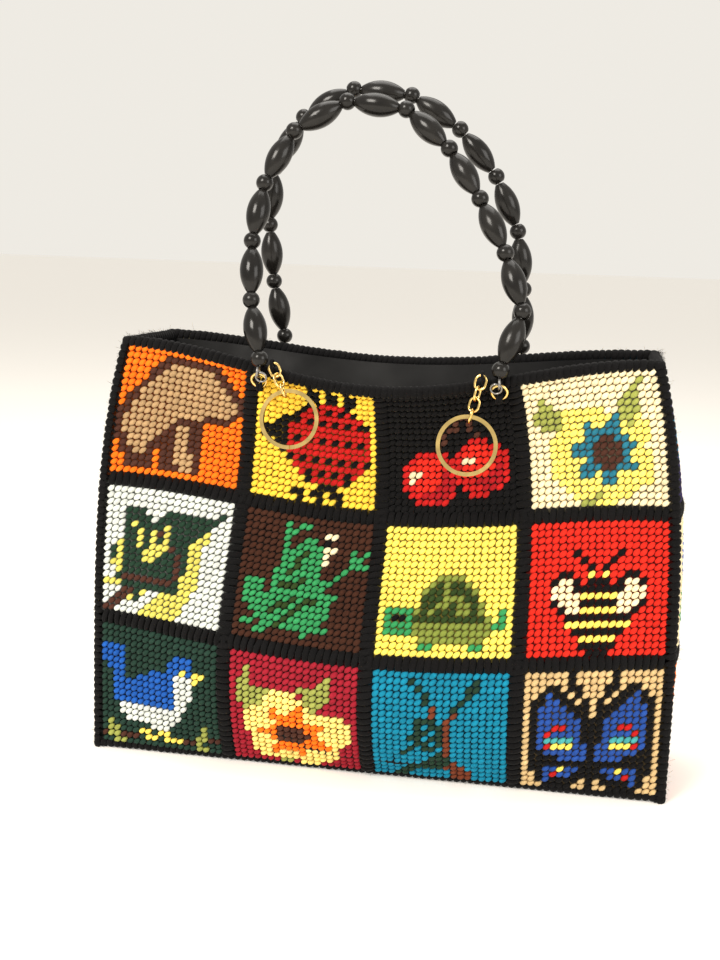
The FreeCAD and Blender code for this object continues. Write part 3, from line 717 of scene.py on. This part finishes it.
BACK_CHARTS = (((sunflower, "teal", "lemon", "bark"), (toadstool, "camel", "scarlet", "cream"),
                (sailing_boat, "blue", "red", "bark"), (tulip, "cream", "crimson", "frog")),
               ((fish, "purple", "orange", "yellow"), (strawberry, "primrose", "red", "olive"),
                (owl, "spruce", "tan", "lemon"), (heart, "white", "scarlet", "maroon")),
               ((tulip, "crimson", "apricot", "olive"), (heart, "black", "lemon", "orange"),
                (sunflower, "orange", "cream", "cocoa"), (fish, "white", "navy", "aqua")))
RIGHT_CHARTS = (((fish, "purple", "teal", "orange"),),
                ((tulip, "cream", "blue", "frog"),),
                ((owl, "orange", "rust", "lemon"),))
LEFT_CHARTS = (((toadstool, "teal", "red", "cream"),),
               ((sailing_boat, "yellow", "scarlet", "cocoa"),),
               ((strawberry, "black", "scarlet", "frog"),))

# ---------------------------------------------------------------- stitched squares


def tent_stitches(wall, across, up, colours, lift=0.0):
    """Plump slanted stitches standing on a wall, one at each place."""
    count = len(across)
    along, upward, outward = axes(wall, across, up)
    turn = STITCH_SLANT + rng.normal(0, 0.06, count)[:, None]
    direction = along * np.cos(turn) + upward * np.sin(turn)
    depth = rng.normal(-0.45 * MM + lift, 0.1 * MM, count)[:, None]
    middle = wall.point(across, up) + outward * depth
    middle += along * rng.normal(0, 0.08 * MM, count)[:, None]
    reach = STITCH_LENGTH / 2 * rng.normal(1, 0.04, count)[:, None]
    run = np.array([-1.0, -0.8, -0.42, 0.0, 0.42, 0.8, 1.0])
    sink = np.array([-1.15, -0.75, -0.1, 0.12, -0.1, -0.75, -1.15]) * MM
    paths = (middle[:, None] + direction[:, None] * reach[:, None] * run[None, :, None]
             + outward[:, None] * sink[None, :, None])
    plump = rng.normal(1, 0.04, count)[:, None]
    fat = np.array([0.62, 0.95, 1.0, 0.95, 0.62])
    verts, faces, uvs, per = strands(paths, outward[:, None], plump * fat * STITCH_HALF_WIDTH,
                                     plump * fat * STITCH_HALF_HEIGHT)
    tone = np.clip(rng.normal(1, 0.05, (count, 1)), 0.85, 1.15)
    return verts, faces, np.repeat(colours * tone, per, 0), uvs


def canvas_slab(wall, across_limits, up_limits, colour):
    """The stiff canvas and yarn backs behind the stitches, in the darkened colour that the callers
    give: painted shade in the gaps.
    """
    across, up = np.meshgrid(np.linspace(*across_limits, 13), np.linspace(*up_limits, 13))
    points = wall.point(across, up)
    outward = axes(wall, across, up)[2]
    verts, faces = sheet_mesh(points - outward * CANVAS_DEPTH, points - outward * WALL)
    return verts, faces, colour, np.zeros((len(verts), 2))


def stitched_square(wall, column, row, chart, node_name):
    """One square: its picture and canvas. The seams and edges cover its border holes."""
    pitch = 2 / wall.columns
    left = -1 + column * pitch
    bottom = HEIGHT - (row + 1) * ROW
    places, colours = [], []
    for j in range(CHART):
        for i in range(CHART):
            places.append((left + pitch * (i + 1.5) / HOLES,
                           bottom + ROW * (HOLES - j - 1.5) / HOLES))
            colours.append(chart.cells[j][i])
    places = np.array(places)
    paint = np.array([linear(c) for c in colours])
    stitches = tent_stitches(wall, places[:, 0], places[:, 1], paint)
    inset = CANVAS_MARGIN / wall.half
    # the canvas is the ground colour darkened: painted shade between the stitches
    slab = canvas_slab(wall, (left + inset, left + pitch - inset),
                       (bottom + CANVAS_MARGIN, bottom + ROW - CANVAS_MARGIN),
                       linear(chart.ground) * GAP_SHADE)
    yarn_piece(node_name + "_stitches", [stitches, slab], node_name)


def stitched_wall(wall, charts, label):
    for row in range(ROWS):
        for column in range(wall.columns):
            name = f"{label}_row_{row + 1}"
            if wall.columns > 1:
                name += f"_col_{column + 1}"
            picture, *colours = charts[row][column]
            stitched_square(wall, column, row, picture(*colours), name)


front = BroadWall(-1, FRONT_SHAPE)
back = BroadWall(1, BACK_SHAPE)
left_side = SideWall(-1)
right_side = SideWall(1)
stitched_wall(front, FRONT_CHARTS, "front_square")
stitched_wall(back, BACK_CHARTS, "back_square")
stitched_wall(left_side, LEFT_CHARTS, "left_side_square")
stitched_wall(right_side, RIGHT_CHARTS, "right_side_square")

# ---------------------------------------------------------------- black wool seams and edges

BLACK = linear("black")


def whip(paths, outward, half_width, half_height):
    """Overcast stitches along paths of points, fattest in the middle."""
    rings = paths.shape[1] - 2
    fat = np.sin(np.pi * (np.arange(rings) + 1.1) / (rings + 1.2)) ** 0.35
    plump = rng.normal(1, 0.06, (len(paths), 1))
    verts, faces, uvs, per = strands(paths, outward, plump * fat * half_width,
                                     plump * fat * half_height)
    tone = np.clip(rng.normal(1, 0.12, (len(paths), 1)), 0.7, 1.3)
    return verts, faces, np.repeat(BLACK * tone, per, 0), uvs


def seam_stitches(wall, across, up, crosswise):
    """Raised bars of yarn over a join between squares, across it."""
    along, upward, outward = axes(wall, across, up)
    slant = 0.16 + rng.normal(0, 0.09, len(across))[:, None]
    if crosswise:
        direction = along * np.cos(slant) + upward * np.sin(slant)
    else:
        direction = upward * np.cos(slant) + along * np.sin(slant)
    run = np.array([-1.0, -0.9, -0.55, 0.0, 0.55, 0.9, 1.0]) * SEAM_REACH
    sink = np.array([-1.6, -0.9, -0.05, 0.3, -0.05, -0.9, -1.6]) * MM
    middle = wall.point(across, up)
    paths = (middle[:, None] + direction[:, None] * run[None, :, None]
             + outward[:, None] * sink[None, :, None])
    return whip(paths, outward[:, None], *SEAM_YARN)


def wall_seams(wall, node_name):
    """The upright and level seams of one wall, inside its edges."""
    parts = []
    for column in range(1, wall.columns):
        up = EDGE_BAND + (np.arange(SEAM_COUNT) + 0.5) * (HEIGHT - 2 * EDGE_BAND) / SEAM_COUNT
        join = np.full(SEAM_COUNT, 2 * column / wall.columns - 1)
        parts.append(seam_stitches(wall, join, up, True))
    count = ROW_COUNT * wall.columns
    reach = 1 - EDGE_BAND / wall.half
    across = -reach + (np.arange(count) + 0.5) * 2 * reach / count
    for row in range(1, ROWS):
        parts.append(seam_stitches(wall, across, np.full(count, row * ROW), False))
    yarn_piece(node_name + "_yarn", parts, node_name)


for wall, name in ((front, "front_seams"), (back, "back_seams"),
                   (left_side, "left_side_seams"), (right_side, "right_side_seams")):
    wall_seams(wall, name)


def edge_paths(corner, in_a, in_b, out_a, out_b, reach_a, reach_b):
    """Yarn paths over an edge, from inside one face round the edge to inside the other."""
    def face(inward, out, reach):
        steps = ((1.0, -1.5), (0.94, -0.3), (0.6, 0.45), (0.22, 0.25))
        return [corner + inward * reach * share + out * rise * MM for share, rise in steps]

    side_a = face(in_a, out_a, reach_a)
    side_b = face(in_b, out_b, reach_b)
    top = corner + (in_a + in_b) * 0.35 * MM + (out_a + out_b) * 0.1 * MM
    return np.stack(side_a + [top] + side_b[::-1], 1)


def corner_yarn():
    """Whipped upright corners."""
    parts = []
    count = CORNER_COUNT
    up = 1.8 * MM + np.arange(count) * (HEIGHT - 3.6 * MM) / (count - 1)
    tip = np.ones(count)
    for broad, end, side in ((front, left_side, -1), (front, right_side, 1),
                             (back, left_side, -1), (back, right_side, 1)):
        across = side * -broad.facing * tip
        other = side * tip * broad.facing
        near = broad.point(across * (1 - EDGE_BAND / HALF_WIDTH), up)
        far = end.point(other * (1 - EDGE_BAND / HALF_DEPTH), up)
        corner = broad.point(across, up)
        corner[:, 2] = up
        slant = np.array([0, 0, 1.0]) * rng.normal(0.9, 0.25, (count, 1)) * MM
        in_a = unit(near - corner)
        in_b = unit(far - corner)
        out_a = axes(broad, across * (1 - 0.5 * EDGE_BAND / HALF_WIDTH), up)[2]
        out_b = axes(end, other * (1 - 0.5 * EDGE_BAND / HALF_DEPTH), up)[2]
        paths = edge_paths(corner, in_a, in_b, out_a, out_b, EDGE_BAND, EDGE_BAND)
        lean = np.linspace(-1, 1, paths.shape[1])[None, :, None]
        paths = paths + slant[:, None] * lean
        parts.append(whip(paths, np.zeros(3) + unit(out_a + out_b)[:, None], *CORNER_YARN))
    return parts


def rim_yarn():
    """Whipped top edge: over the rim from the outer face to the lining."""
    parts = []
    for wall in (front, back, left_side, right_side):
        reach = 1 - 1.5 * MM / wall.half
        count = int(2 * wall.half / RIM_PITCH)
        across = np.linspace(-reach, reach, count)
        up = np.full(count, HEIGHT - 0.6 * MM)
        along, upward, outward = axes(wall, across, up)
        top = wall.point(across, up)
        run = ((-4.2, -1.5), (-3.9, -0.1), (-2.7, 0.5), (-1.2, 0.35), (0.15, -0.9), (0.25, -2.3),
               (-1.0, -3.7), (-2.8, -4.2), (-4.2, -4.0), (-4.8, -3.0))
        lean = np.linspace(-1.3, 1.3, len(run)) * MM
        paths = np.stack([top + upward * rise * MM + outward * out * MM + along * shift
                          for (rise, out), shift in zip(run, lean)], 1)
        # each ring's wide way lies along the edge, so the reference is the way the path bends
        bend = unit(np.gradient(np.gradient(paths, axis=1), axis=1) * -1 + outward[:, None] * 1e-6)
        parts.append(whip(paths, bend, *RIM_YARN))
    return parts


def base_yarn():
    """Whipped bottom edges, kept above the surface that the bag stands on."""
    parts = []
    for wall in (front, back, left_side, right_side):
        reach = 1 - 1.5 * MM / wall.half
        count = int(2 * wall.half / BASE_PITCH)
        across = np.linspace(-reach, reach, count)
        level = 1.0 * MM
        along, _, outward = axes(wall, across, np.full(count, level))
        outward[:, 2] = 0
        corner = wall.point(across, np.full(count, level))
        corner[:, 2] = 1.25 * MM
        flat = unit(outward)
        run = ((4.4, -1.5), (4.0, -0.3), (2.8, 0.35), (1.4, 0.2), (0.2, -0.9), (0.0, -2.4),
               (0.0, -4.0), (0.2, -5.4), (1.4, -5.9))
        lean = np.linspace(-1.2, 1.2, len(run)) * MM
        paths = np.stack([corner + np.array([0, 0, rise * MM]) + flat * out * MM + along * shift
                          for (rise, out), shift in zip(run, lean)], 1)
        bend = unit(flat[:, None] + np.array([0, 0, -0.7]))
        parts.append(whip(paths, np.zeros(paths.shape) + bend, *RIM_YARN))
    return parts


for maker, name in ((corner_yarn, "corner_seams"), (rim_yarn, "rim_binding"),
                    (base_yarn, "base_seams")):
    yarn_piece(name + "_yarn", maker(), name, grounded=maker is base_yarn)


def base_panel():
    """The base: plain black stitches under a canvas slab."""
    wall = BasePanel()
    across, up = np.meshgrid((np.arange(80) + 0.5) / 80 * 1.9 - 0.95, (np.arange(18) + 0.5) / 18)
    across = across.ravel()
    up = 6 * MM + up.ravel() * (SQUARE - 12 * MM)
    colours = np.repeat(BLACK[None], len(across), 0)
    stitches = tent_stitches(wall, across, up, colours, lift=-1.0 * MM)
    # the canvas is the black halved: painted shade between the stitches
    slab = canvas_slab(wall, (-0.965, 0.965), (5 * MM, SQUARE - 5 * MM), BLACK * 0.5)
    yarn_piece("base_panel_stitches", [stitches, slab], "base_panel", grounded=True)


base_panel()

# ---------------------------------------------------------------- yarn tabs and fuzz

TAB_DROP = 9.0 * MM         # the handle tabs, below the rim
TAB_STAND_OFF = 5.0 * MM    # and out from the wall
TAB_RADIUS = 2.1 * MM       # middle of the yarn loop round a ring
RING_REACH = 4.5 * MM       # outer radius of the rings at the handle ends
FOB_LEAN = math.radians(50)
FOB_TABS = (-0.42, 0.395)   # shares of the half width
FOB_REACH = 7.7 * MM
FUZZ_TOP = HEIGHT - 42 * MM  # above this, none near the rings and fobs that swing there
FUZZ_GAP_PLACE = 63 * MM
FUZZ_GAP = 15 * MM
FUZZ_LENGTH = 2.6 * MM
FIBRE = 0.05 * MM


def yarn_loop(centre, out, length, offsets):
    """Loops of yarn side by side: out from a foot, round a ring lying along X, and back."""
    across = np.array([1.0, 0, 0])
    lift = unit(np.cross(across, out))
    angle = np.linspace(-0.5, 0.5, 9) * np.pi
    turn = [centre + (out * math.cos(a) + lift * math.sin(a)) * TAB_RADIUS for a in angle]
    foot = [centre - out * length * share for share in (1.0, 0.93, 0.55, 0.2)]
    below = [place - lift * TAB_RADIUS for place in foot]
    above = [place + lift * TAB_RADIUS for place in foot[::-1]]
    path = below + turn + above
    paths = np.array([np.array(path) + across * offset for offset in offsets])
    along = unit(np.gradient(paths, axis=1))
    bend = np.cross(along, np.broadcast_to(across, paths.shape))
    return whip(paths, bend, *TAB_YARN)


def ring_places(side):
    """X of the middles of the two end rings of a handle."""
    rings = nodes[side + "_handle_rings"]
    spread = [(rings.matrix_world @ vertex.co).x for vertex in rings.data.vertices]
    return min(spread) + RING_REACH, max(spread) - RING_REACH


def handle_tabs(wall, label):
    """The tabs that hold the two end rings of a handle."""
    up = HEIGHT - TAB_DROP
    _, upward, _ = axes(wall, np.array([-wall.facing * 0.5]), np.array([up]))
    upward = unit(upward[0] * np.array([0, 1.0, 1.0]))
    out = np.array([0, upward[2], -upward[1]])
    out = out * np.sign(out[1]) * wall.facing
    seam = wall.point(0.5, up)
    line = seam + out * TAB_STAND_OFF
    parts = []
    for x in ring_places(label):
        centre = np.array([x, line[1], line[2]])
        behind = wall.point(0.5 * x / seam[0], up)
        length = (centre - behind) @ out - 0.3 * MM
        parts.append(yarn_loop(centre, out, length, (-0.8 * MM, 0.8 * MM)))
    return parts


def fob_tabs():
    """The thin tabs over the front rim that hold the fob chains."""
    parts = []
    out = np.array([0, -math.sin(FOB_LEAN), math.cos(FOB_LEAN)])
    for across in FOB_TABS:
        up = HEIGHT - 2.0 * MM
        outward = axes(front, np.array([across]), np.array([up]))[2][0]
        rim = front.point(across, up) - outward * WALL / 2
        parts.append(yarn_loop(rim + out * FOB_REACH, out, FOB_REACH - 1.5 * MM, (0.0,)))
    return parts


for parts, name in ((handle_tabs(front, "front") + fob_tabs(), "front_tabs"),
                    (handle_tabs(back, "back"), "back_tabs")):
    yarn_piece(name + "_yarn", parts, name)


def hairs(roots, outward, length):
    """Loose fibres that stand off the yarn."""
    count = len(roots)
    stray = unit(outward * 0.8 + rng.normal(0, 0.8, (count, 3)))
    curl = rng.normal(0, 0.45, (count, 3))
    size = length * rng.uniform(0.4, 1.0, count)[:, None]
    run = np.linspace(0, 1, 6)[None, :, None]
    paths = roots[:, None] + (stray[:, None] * run + curl[:, None] * run ** 2) * size[:, None]
    verts, faces, uvs, per = strands(paths, unit(curl)[:, None], FIBRE, FIBRE, sides=3)
    return verts, faces, np.broadcast_to(BLACK * 2.0, verts.shape), uvs


def fuzz():
    """Fibres along the seams, the corners and the rim."""
    parts = []
    for wall, amount in ((front, 2600), (back, 2200), (left_side, 700), (right_side, 700)):
        column = rng.integers(0, wall.columns + 1, amount)
        across = np.clip(2 * column / wall.columns - 1, -0.995, 0.995)
        across = across + rng.normal(0, 2.0 * MM, amount) / wall.half
        up = rng.uniform(3 * MM, HEIGHT - 3 * MM, amount)
        level = rng.random(amount) < 0.45
        rows = rng.integers(1, ROWS + 1, amount) * ROW + rng.normal(0, 1.8 * MM, amount)
        up = np.clip(np.where(level, rows, up), 0, HEIGHT)
        across = np.where(level, rng.uniform(-0.98, 0.98, amount), np.clip(across, -1, 1))
        outward = axes(wall, across, up)[2]
        roots = wall.point(across, up) + outward * 0.6 * MM
        roots[:, 2] = np.maximum(roots[:, 2], 2 * MM)
        from_ends = np.abs(np.abs(roots[:, 0]) - FUZZ_GAP_PLACE)
        clear = (roots[:, 2] < FUZZ_TOP) | (from_ends > FUZZ_GAP)
        roots, outward = roots[clear], outward[clear]
        parts.append(hairs(roots, outward + np.array([0, 0, 0.2]), FUZZ_LENGTH))
    return parts


yarn_piece("yarn_fuzz", fuzz(), grounded=True)

# ---------------------------------------------------------------- the lining

LINING_DEPTH = 4.9 * MM     # from the outer face of a wall
LINING_LOW = 8.8 * MM
LINING_HIGH = HEIGHT - 4.6 * MM
LINING_ROWS = 56
LINING_SLACK = 13 * MM      # how far the cloth may hang off the walls
LINING_EXTRA = 0.045        # extra cloth each way, which makes the folds
SETTLE_FRAMES = 34
CLOTH = {"quality": 6, "mass": 0.12, "tension_stiffness": 18, "compression_stiffness": 18,
         "shear_stiffness": 8, "bending_stiffness": 0.12, "shrink_min": -LINING_EXTRA,
         "air_damping": 3}


def lining_grid():
    """Rows of points round the inside of the walls, with the way into the bag at each."""
    places, inward = [], []
    ups = np.linspace(LINING_LOW, LINING_HIGH, LINING_ROWS)
    for wall, count in ((front, 76), (right_side, 17), (back, 76), (left_side, 17)):
        end = 1 - 1.3 * LINING_DEPTH / wall.half
        across, up = np.meshgrid(np.linspace(-end, end, count), ups)
        outward = axes(wall, across, up)[2]
        places.append(wall.point(across, up) - outward * LINING_DEPTH)
        inward.append(-outward)
    return np.concatenate(places, 1), np.concatenate(inward, 1)


def folded(places, inward):
    """Slight horizontal creases for the cloth to start from."""
    rows, cols = places.shape[:2]
    turn = 2 * np.pi * np.arange(cols) / cols
    height = np.linspace(0, 1, rows)[:, None]
    ripple = np.zeros((rows, cols))
    for waves in (9, 14, 21):
        drift = rng.normal(0, 0.6) + np.sin(turn * rng.integers(2, 5) + rng.uniform(0, 6)) * 0.9
        ripple += np.sin(2 * np.pi * waves * height + drift * 2.2) * rng.uniform(0.4, 0.8)
    depth = np.maximum(ripple + 0.9, 0.05) * np.sin(np.pi * height) ** 0.4 * 1.8 * MM
    return places + inward * depth[..., None]


def settled(piece, rows, cols):
    """The cloth after it has slumped between its stitched top and bottom edges."""
    pins = piece.vertex_groups.new(name="pins")
    held = list(range(cols)) + list(range((rows - 1) * cols, rows * cols))
    pins.add(held, 1.0, "REPLACE")
    cloth = piece.modifiers.new("cloth", "CLOTH")
    for key, value in CLOTH.items():
        setattr(cloth.settings, key, value)
    cloth.settings.vertex_group_mass = "pins"
    cloth.collision_settings.use_collision = False
    cloth.point_cache.frame_end = SETTLE_FRAMES
    scene = bpy.context.scene
    for frame_number in range(1, SETTLE_FRAMES + 1):
        scene.frame_set(frame_number)
    shape = piece.evaluated_get(bpy.context.evaluated_depsgraph_get()).data
    coords = np.zeros(len(shape.vertices) * 3)
    shape.vertices.foreach_get("co", coords)
    piece.modifiers.remove(cloth)
    scene.frame_set(1)
    return coords.reshape(rows, cols, 3)


def lining_cloth():
    """Black satin all round the inside, stitched at the rim and the base."""
    places, inward = lining_grid()
    rows, cols = places.shape[:2]
    start = folded(places, inward)
    index = np.arange(rows * cols).reshape(rows, cols)
    ahead = np.roll(index, -1, 1)
    faces = np.stack([index[:-1], index[1:], ahead[1:], ahead[:-1]], -1).reshape(-1, 4)
    piece = mesh_piece("lining_cloth", "bag", start.reshape(-1, 3), [faces], [satin])
    shape = settled(piece, rows, cols)
    shift = shape - places
    depth = (shift * inward).sum(-1, keepdims=True)
    shape = places + shift - inward * depth + inward * np.clip(depth, 0, LINING_SLACK)
    piece.data.vertices.foreach_set("co", shape.astype(np.float32).ravel())
    piece.data.update()
    for label in ("front", "back", "left", "right"):
        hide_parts("lining_" + label)


def lining_floor():
    """The satin over the base, with shallow puckers."""
    reach_x = HALF_WIDTH - 6.5 * MM
    reach_y = HALF_DEPTH - 6.5 * MM
    x, y = np.meshgrid(np.linspace(-reach_x, reach_x, 90), np.linspace(-reach_y, reach_y, 24))
    pucker = np.sin(x / (9 * MM) + 1.5 * np.sin(y / (14 * MM))) * np.cos(y / (11 * MM))
    rise = 5.0 * MM + (0.8 + 0.7 * pucker) * MM
    top = np.stack([x, y, rise], -1)
    verts, faces = sheet_mesh(top, top - np.array([0, 0, 0.5 * MM]))
    piece = mesh_piece("lining_floor_cloth", "bag", verts, faces, [satin])
    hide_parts("lining_base")


lining_cloth()
lining_floor()

# ---------------------------------------------------------------- metal and beads


beads = bead_material()
FINISHES = ((("beads",), beads), (("spare_rings", "_wire"), steel),
            (("_rings", "_chain", "_key_ring"), gold))
for name, cad in nodes.items():
    finish = next((material for ends, material in FINISHES if name.endswith(ends)), None)
    if finish:
        cad.data.materials.clear()
        cad.data.materials.append(finish)

# ---------------------------------------------------------------- stage


def plain_material(name, colour, roughness):
    material, tree, shader = new_material(name)
    shader.inputs["Base Color"].default_value = (*colour, 1)
    shader.inputs["Roughness"].default_value = roughness
    return material


def floor_and_light():
    bpy.ops.mesh.primitive_plane_add(size=60, location=(0, 0, 0))
    floor = bpy.context.object
    floor.name = "floor"
    pale = plain_material("pale_floor", (0.86, 0.83, 0.78), 0.9)
    glow = pale.node_tree.nodes["Principled BSDF"].inputs
    glow["Emission Color"].default_value = (1.0, 0.96, 0.9, 1)
    glow["Emission Strength"].default_value = 0.22
    floor.data.materials.append(pale)
    world = bpy.data.worlds.new("studio")
    bpy.context.scene.world = world
    world.use_nodes = True
    tree = world.node_tree
    fill = tree.nodes["Background"]
    fill.inputs["Color"].default_value = (1.0, 0.965, 0.9, 1)
    fill.inputs["Strength"].default_value = 0.72
    seen = node(tree, "ShaderNodeBackground", {"Color": (0.86, 0.83, 0.77, 1), "Strength": 1.0})
    path = node(tree, "ShaderNodeLightPath")
    mix = node(tree, "ShaderNodeMixShader")
    tree.links.new(path.outputs["Is Camera Ray"], mix.inputs[0])
    tree.links.new(fill.outputs[0], mix.inputs[1])
    tree.links.new(seen.outputs[0], mix.inputs[2])
    tree.links.new(mix.outputs[0], tree.nodes["World Output"].inputs["Surface"])
    for name, place, size, power, colour in (
            ("key", (-0.75, -1.45, 1.35), 0.75, 36, (1.0, 0.95, 0.87)),
            ("fill", (1.5, -0.9, 0.8), 1.0, 14, (1.0, 0.97, 0.93)),
            ("top", (0.0, 0.4, 1.6), 1.2, 14, (1.0, 0.97, 0.92))):
        lamp = bpy.data.lights.new(name, "AREA")
        lamp.size = size
        lamp.energy = power
        lamp.color = colour
        holder = bpy.data.objects.new(name, lamp)
        bpy.context.scene.collection.objects.link(holder)
        holder.location = place
        aim = Vector((0, 0, 0.15)) - Vector(place)
        holder.rotation_euler = aim.to_track_quat("-Z", "Y").to_euler()


CAMERA_PLACE = Vector((0.10724, -0.69920, 0.27088))
CAMERA_AZIMUTH = math.radians(10.06)     # to the right of square on
CAMERA_ELEVATION = math.radians(9.59)
CAMERA_ROLL = math.radians(1.94)
CAMERA_LENS = 66.55                      # on a 36 mm wide sensor


def camera():
    az, el, roll = CAMERA_AZIMUTH, CAMERA_ELEVATION, CAMERA_ROLL
    away = Vector((math.sin(az) * math.cos(el), -math.cos(az) * math.cos(el), math.sin(el)))
    right = Vector((math.cos(az), math.sin(az), 0))
    up = away.cross(right)
    right, up = (math.cos(roll) * right + math.sin(roll) * up,
                 math.cos(roll) * up - math.sin(roll) * right)
    data = bpy.data.cameras.new("photo_view")
    data.lens = CAMERA_LENS
    data.sensor_width = 36
    data.sensor_fit = "HORIZONTAL"
    view = bpy.data.objects.new("photo_view", data)
    bpy.context.scene.collection.objects.link(view)
    turn = Matrix((right, up, away)).transposed().to_4x4()
    view.matrix_world = Matrix.Translation(CAMERA_PLACE) @ turn
    bpy.context.scene.camera = view


floor_and_light()
camera()
bpy.context.scene.view_settings.view_transform = "Standard"
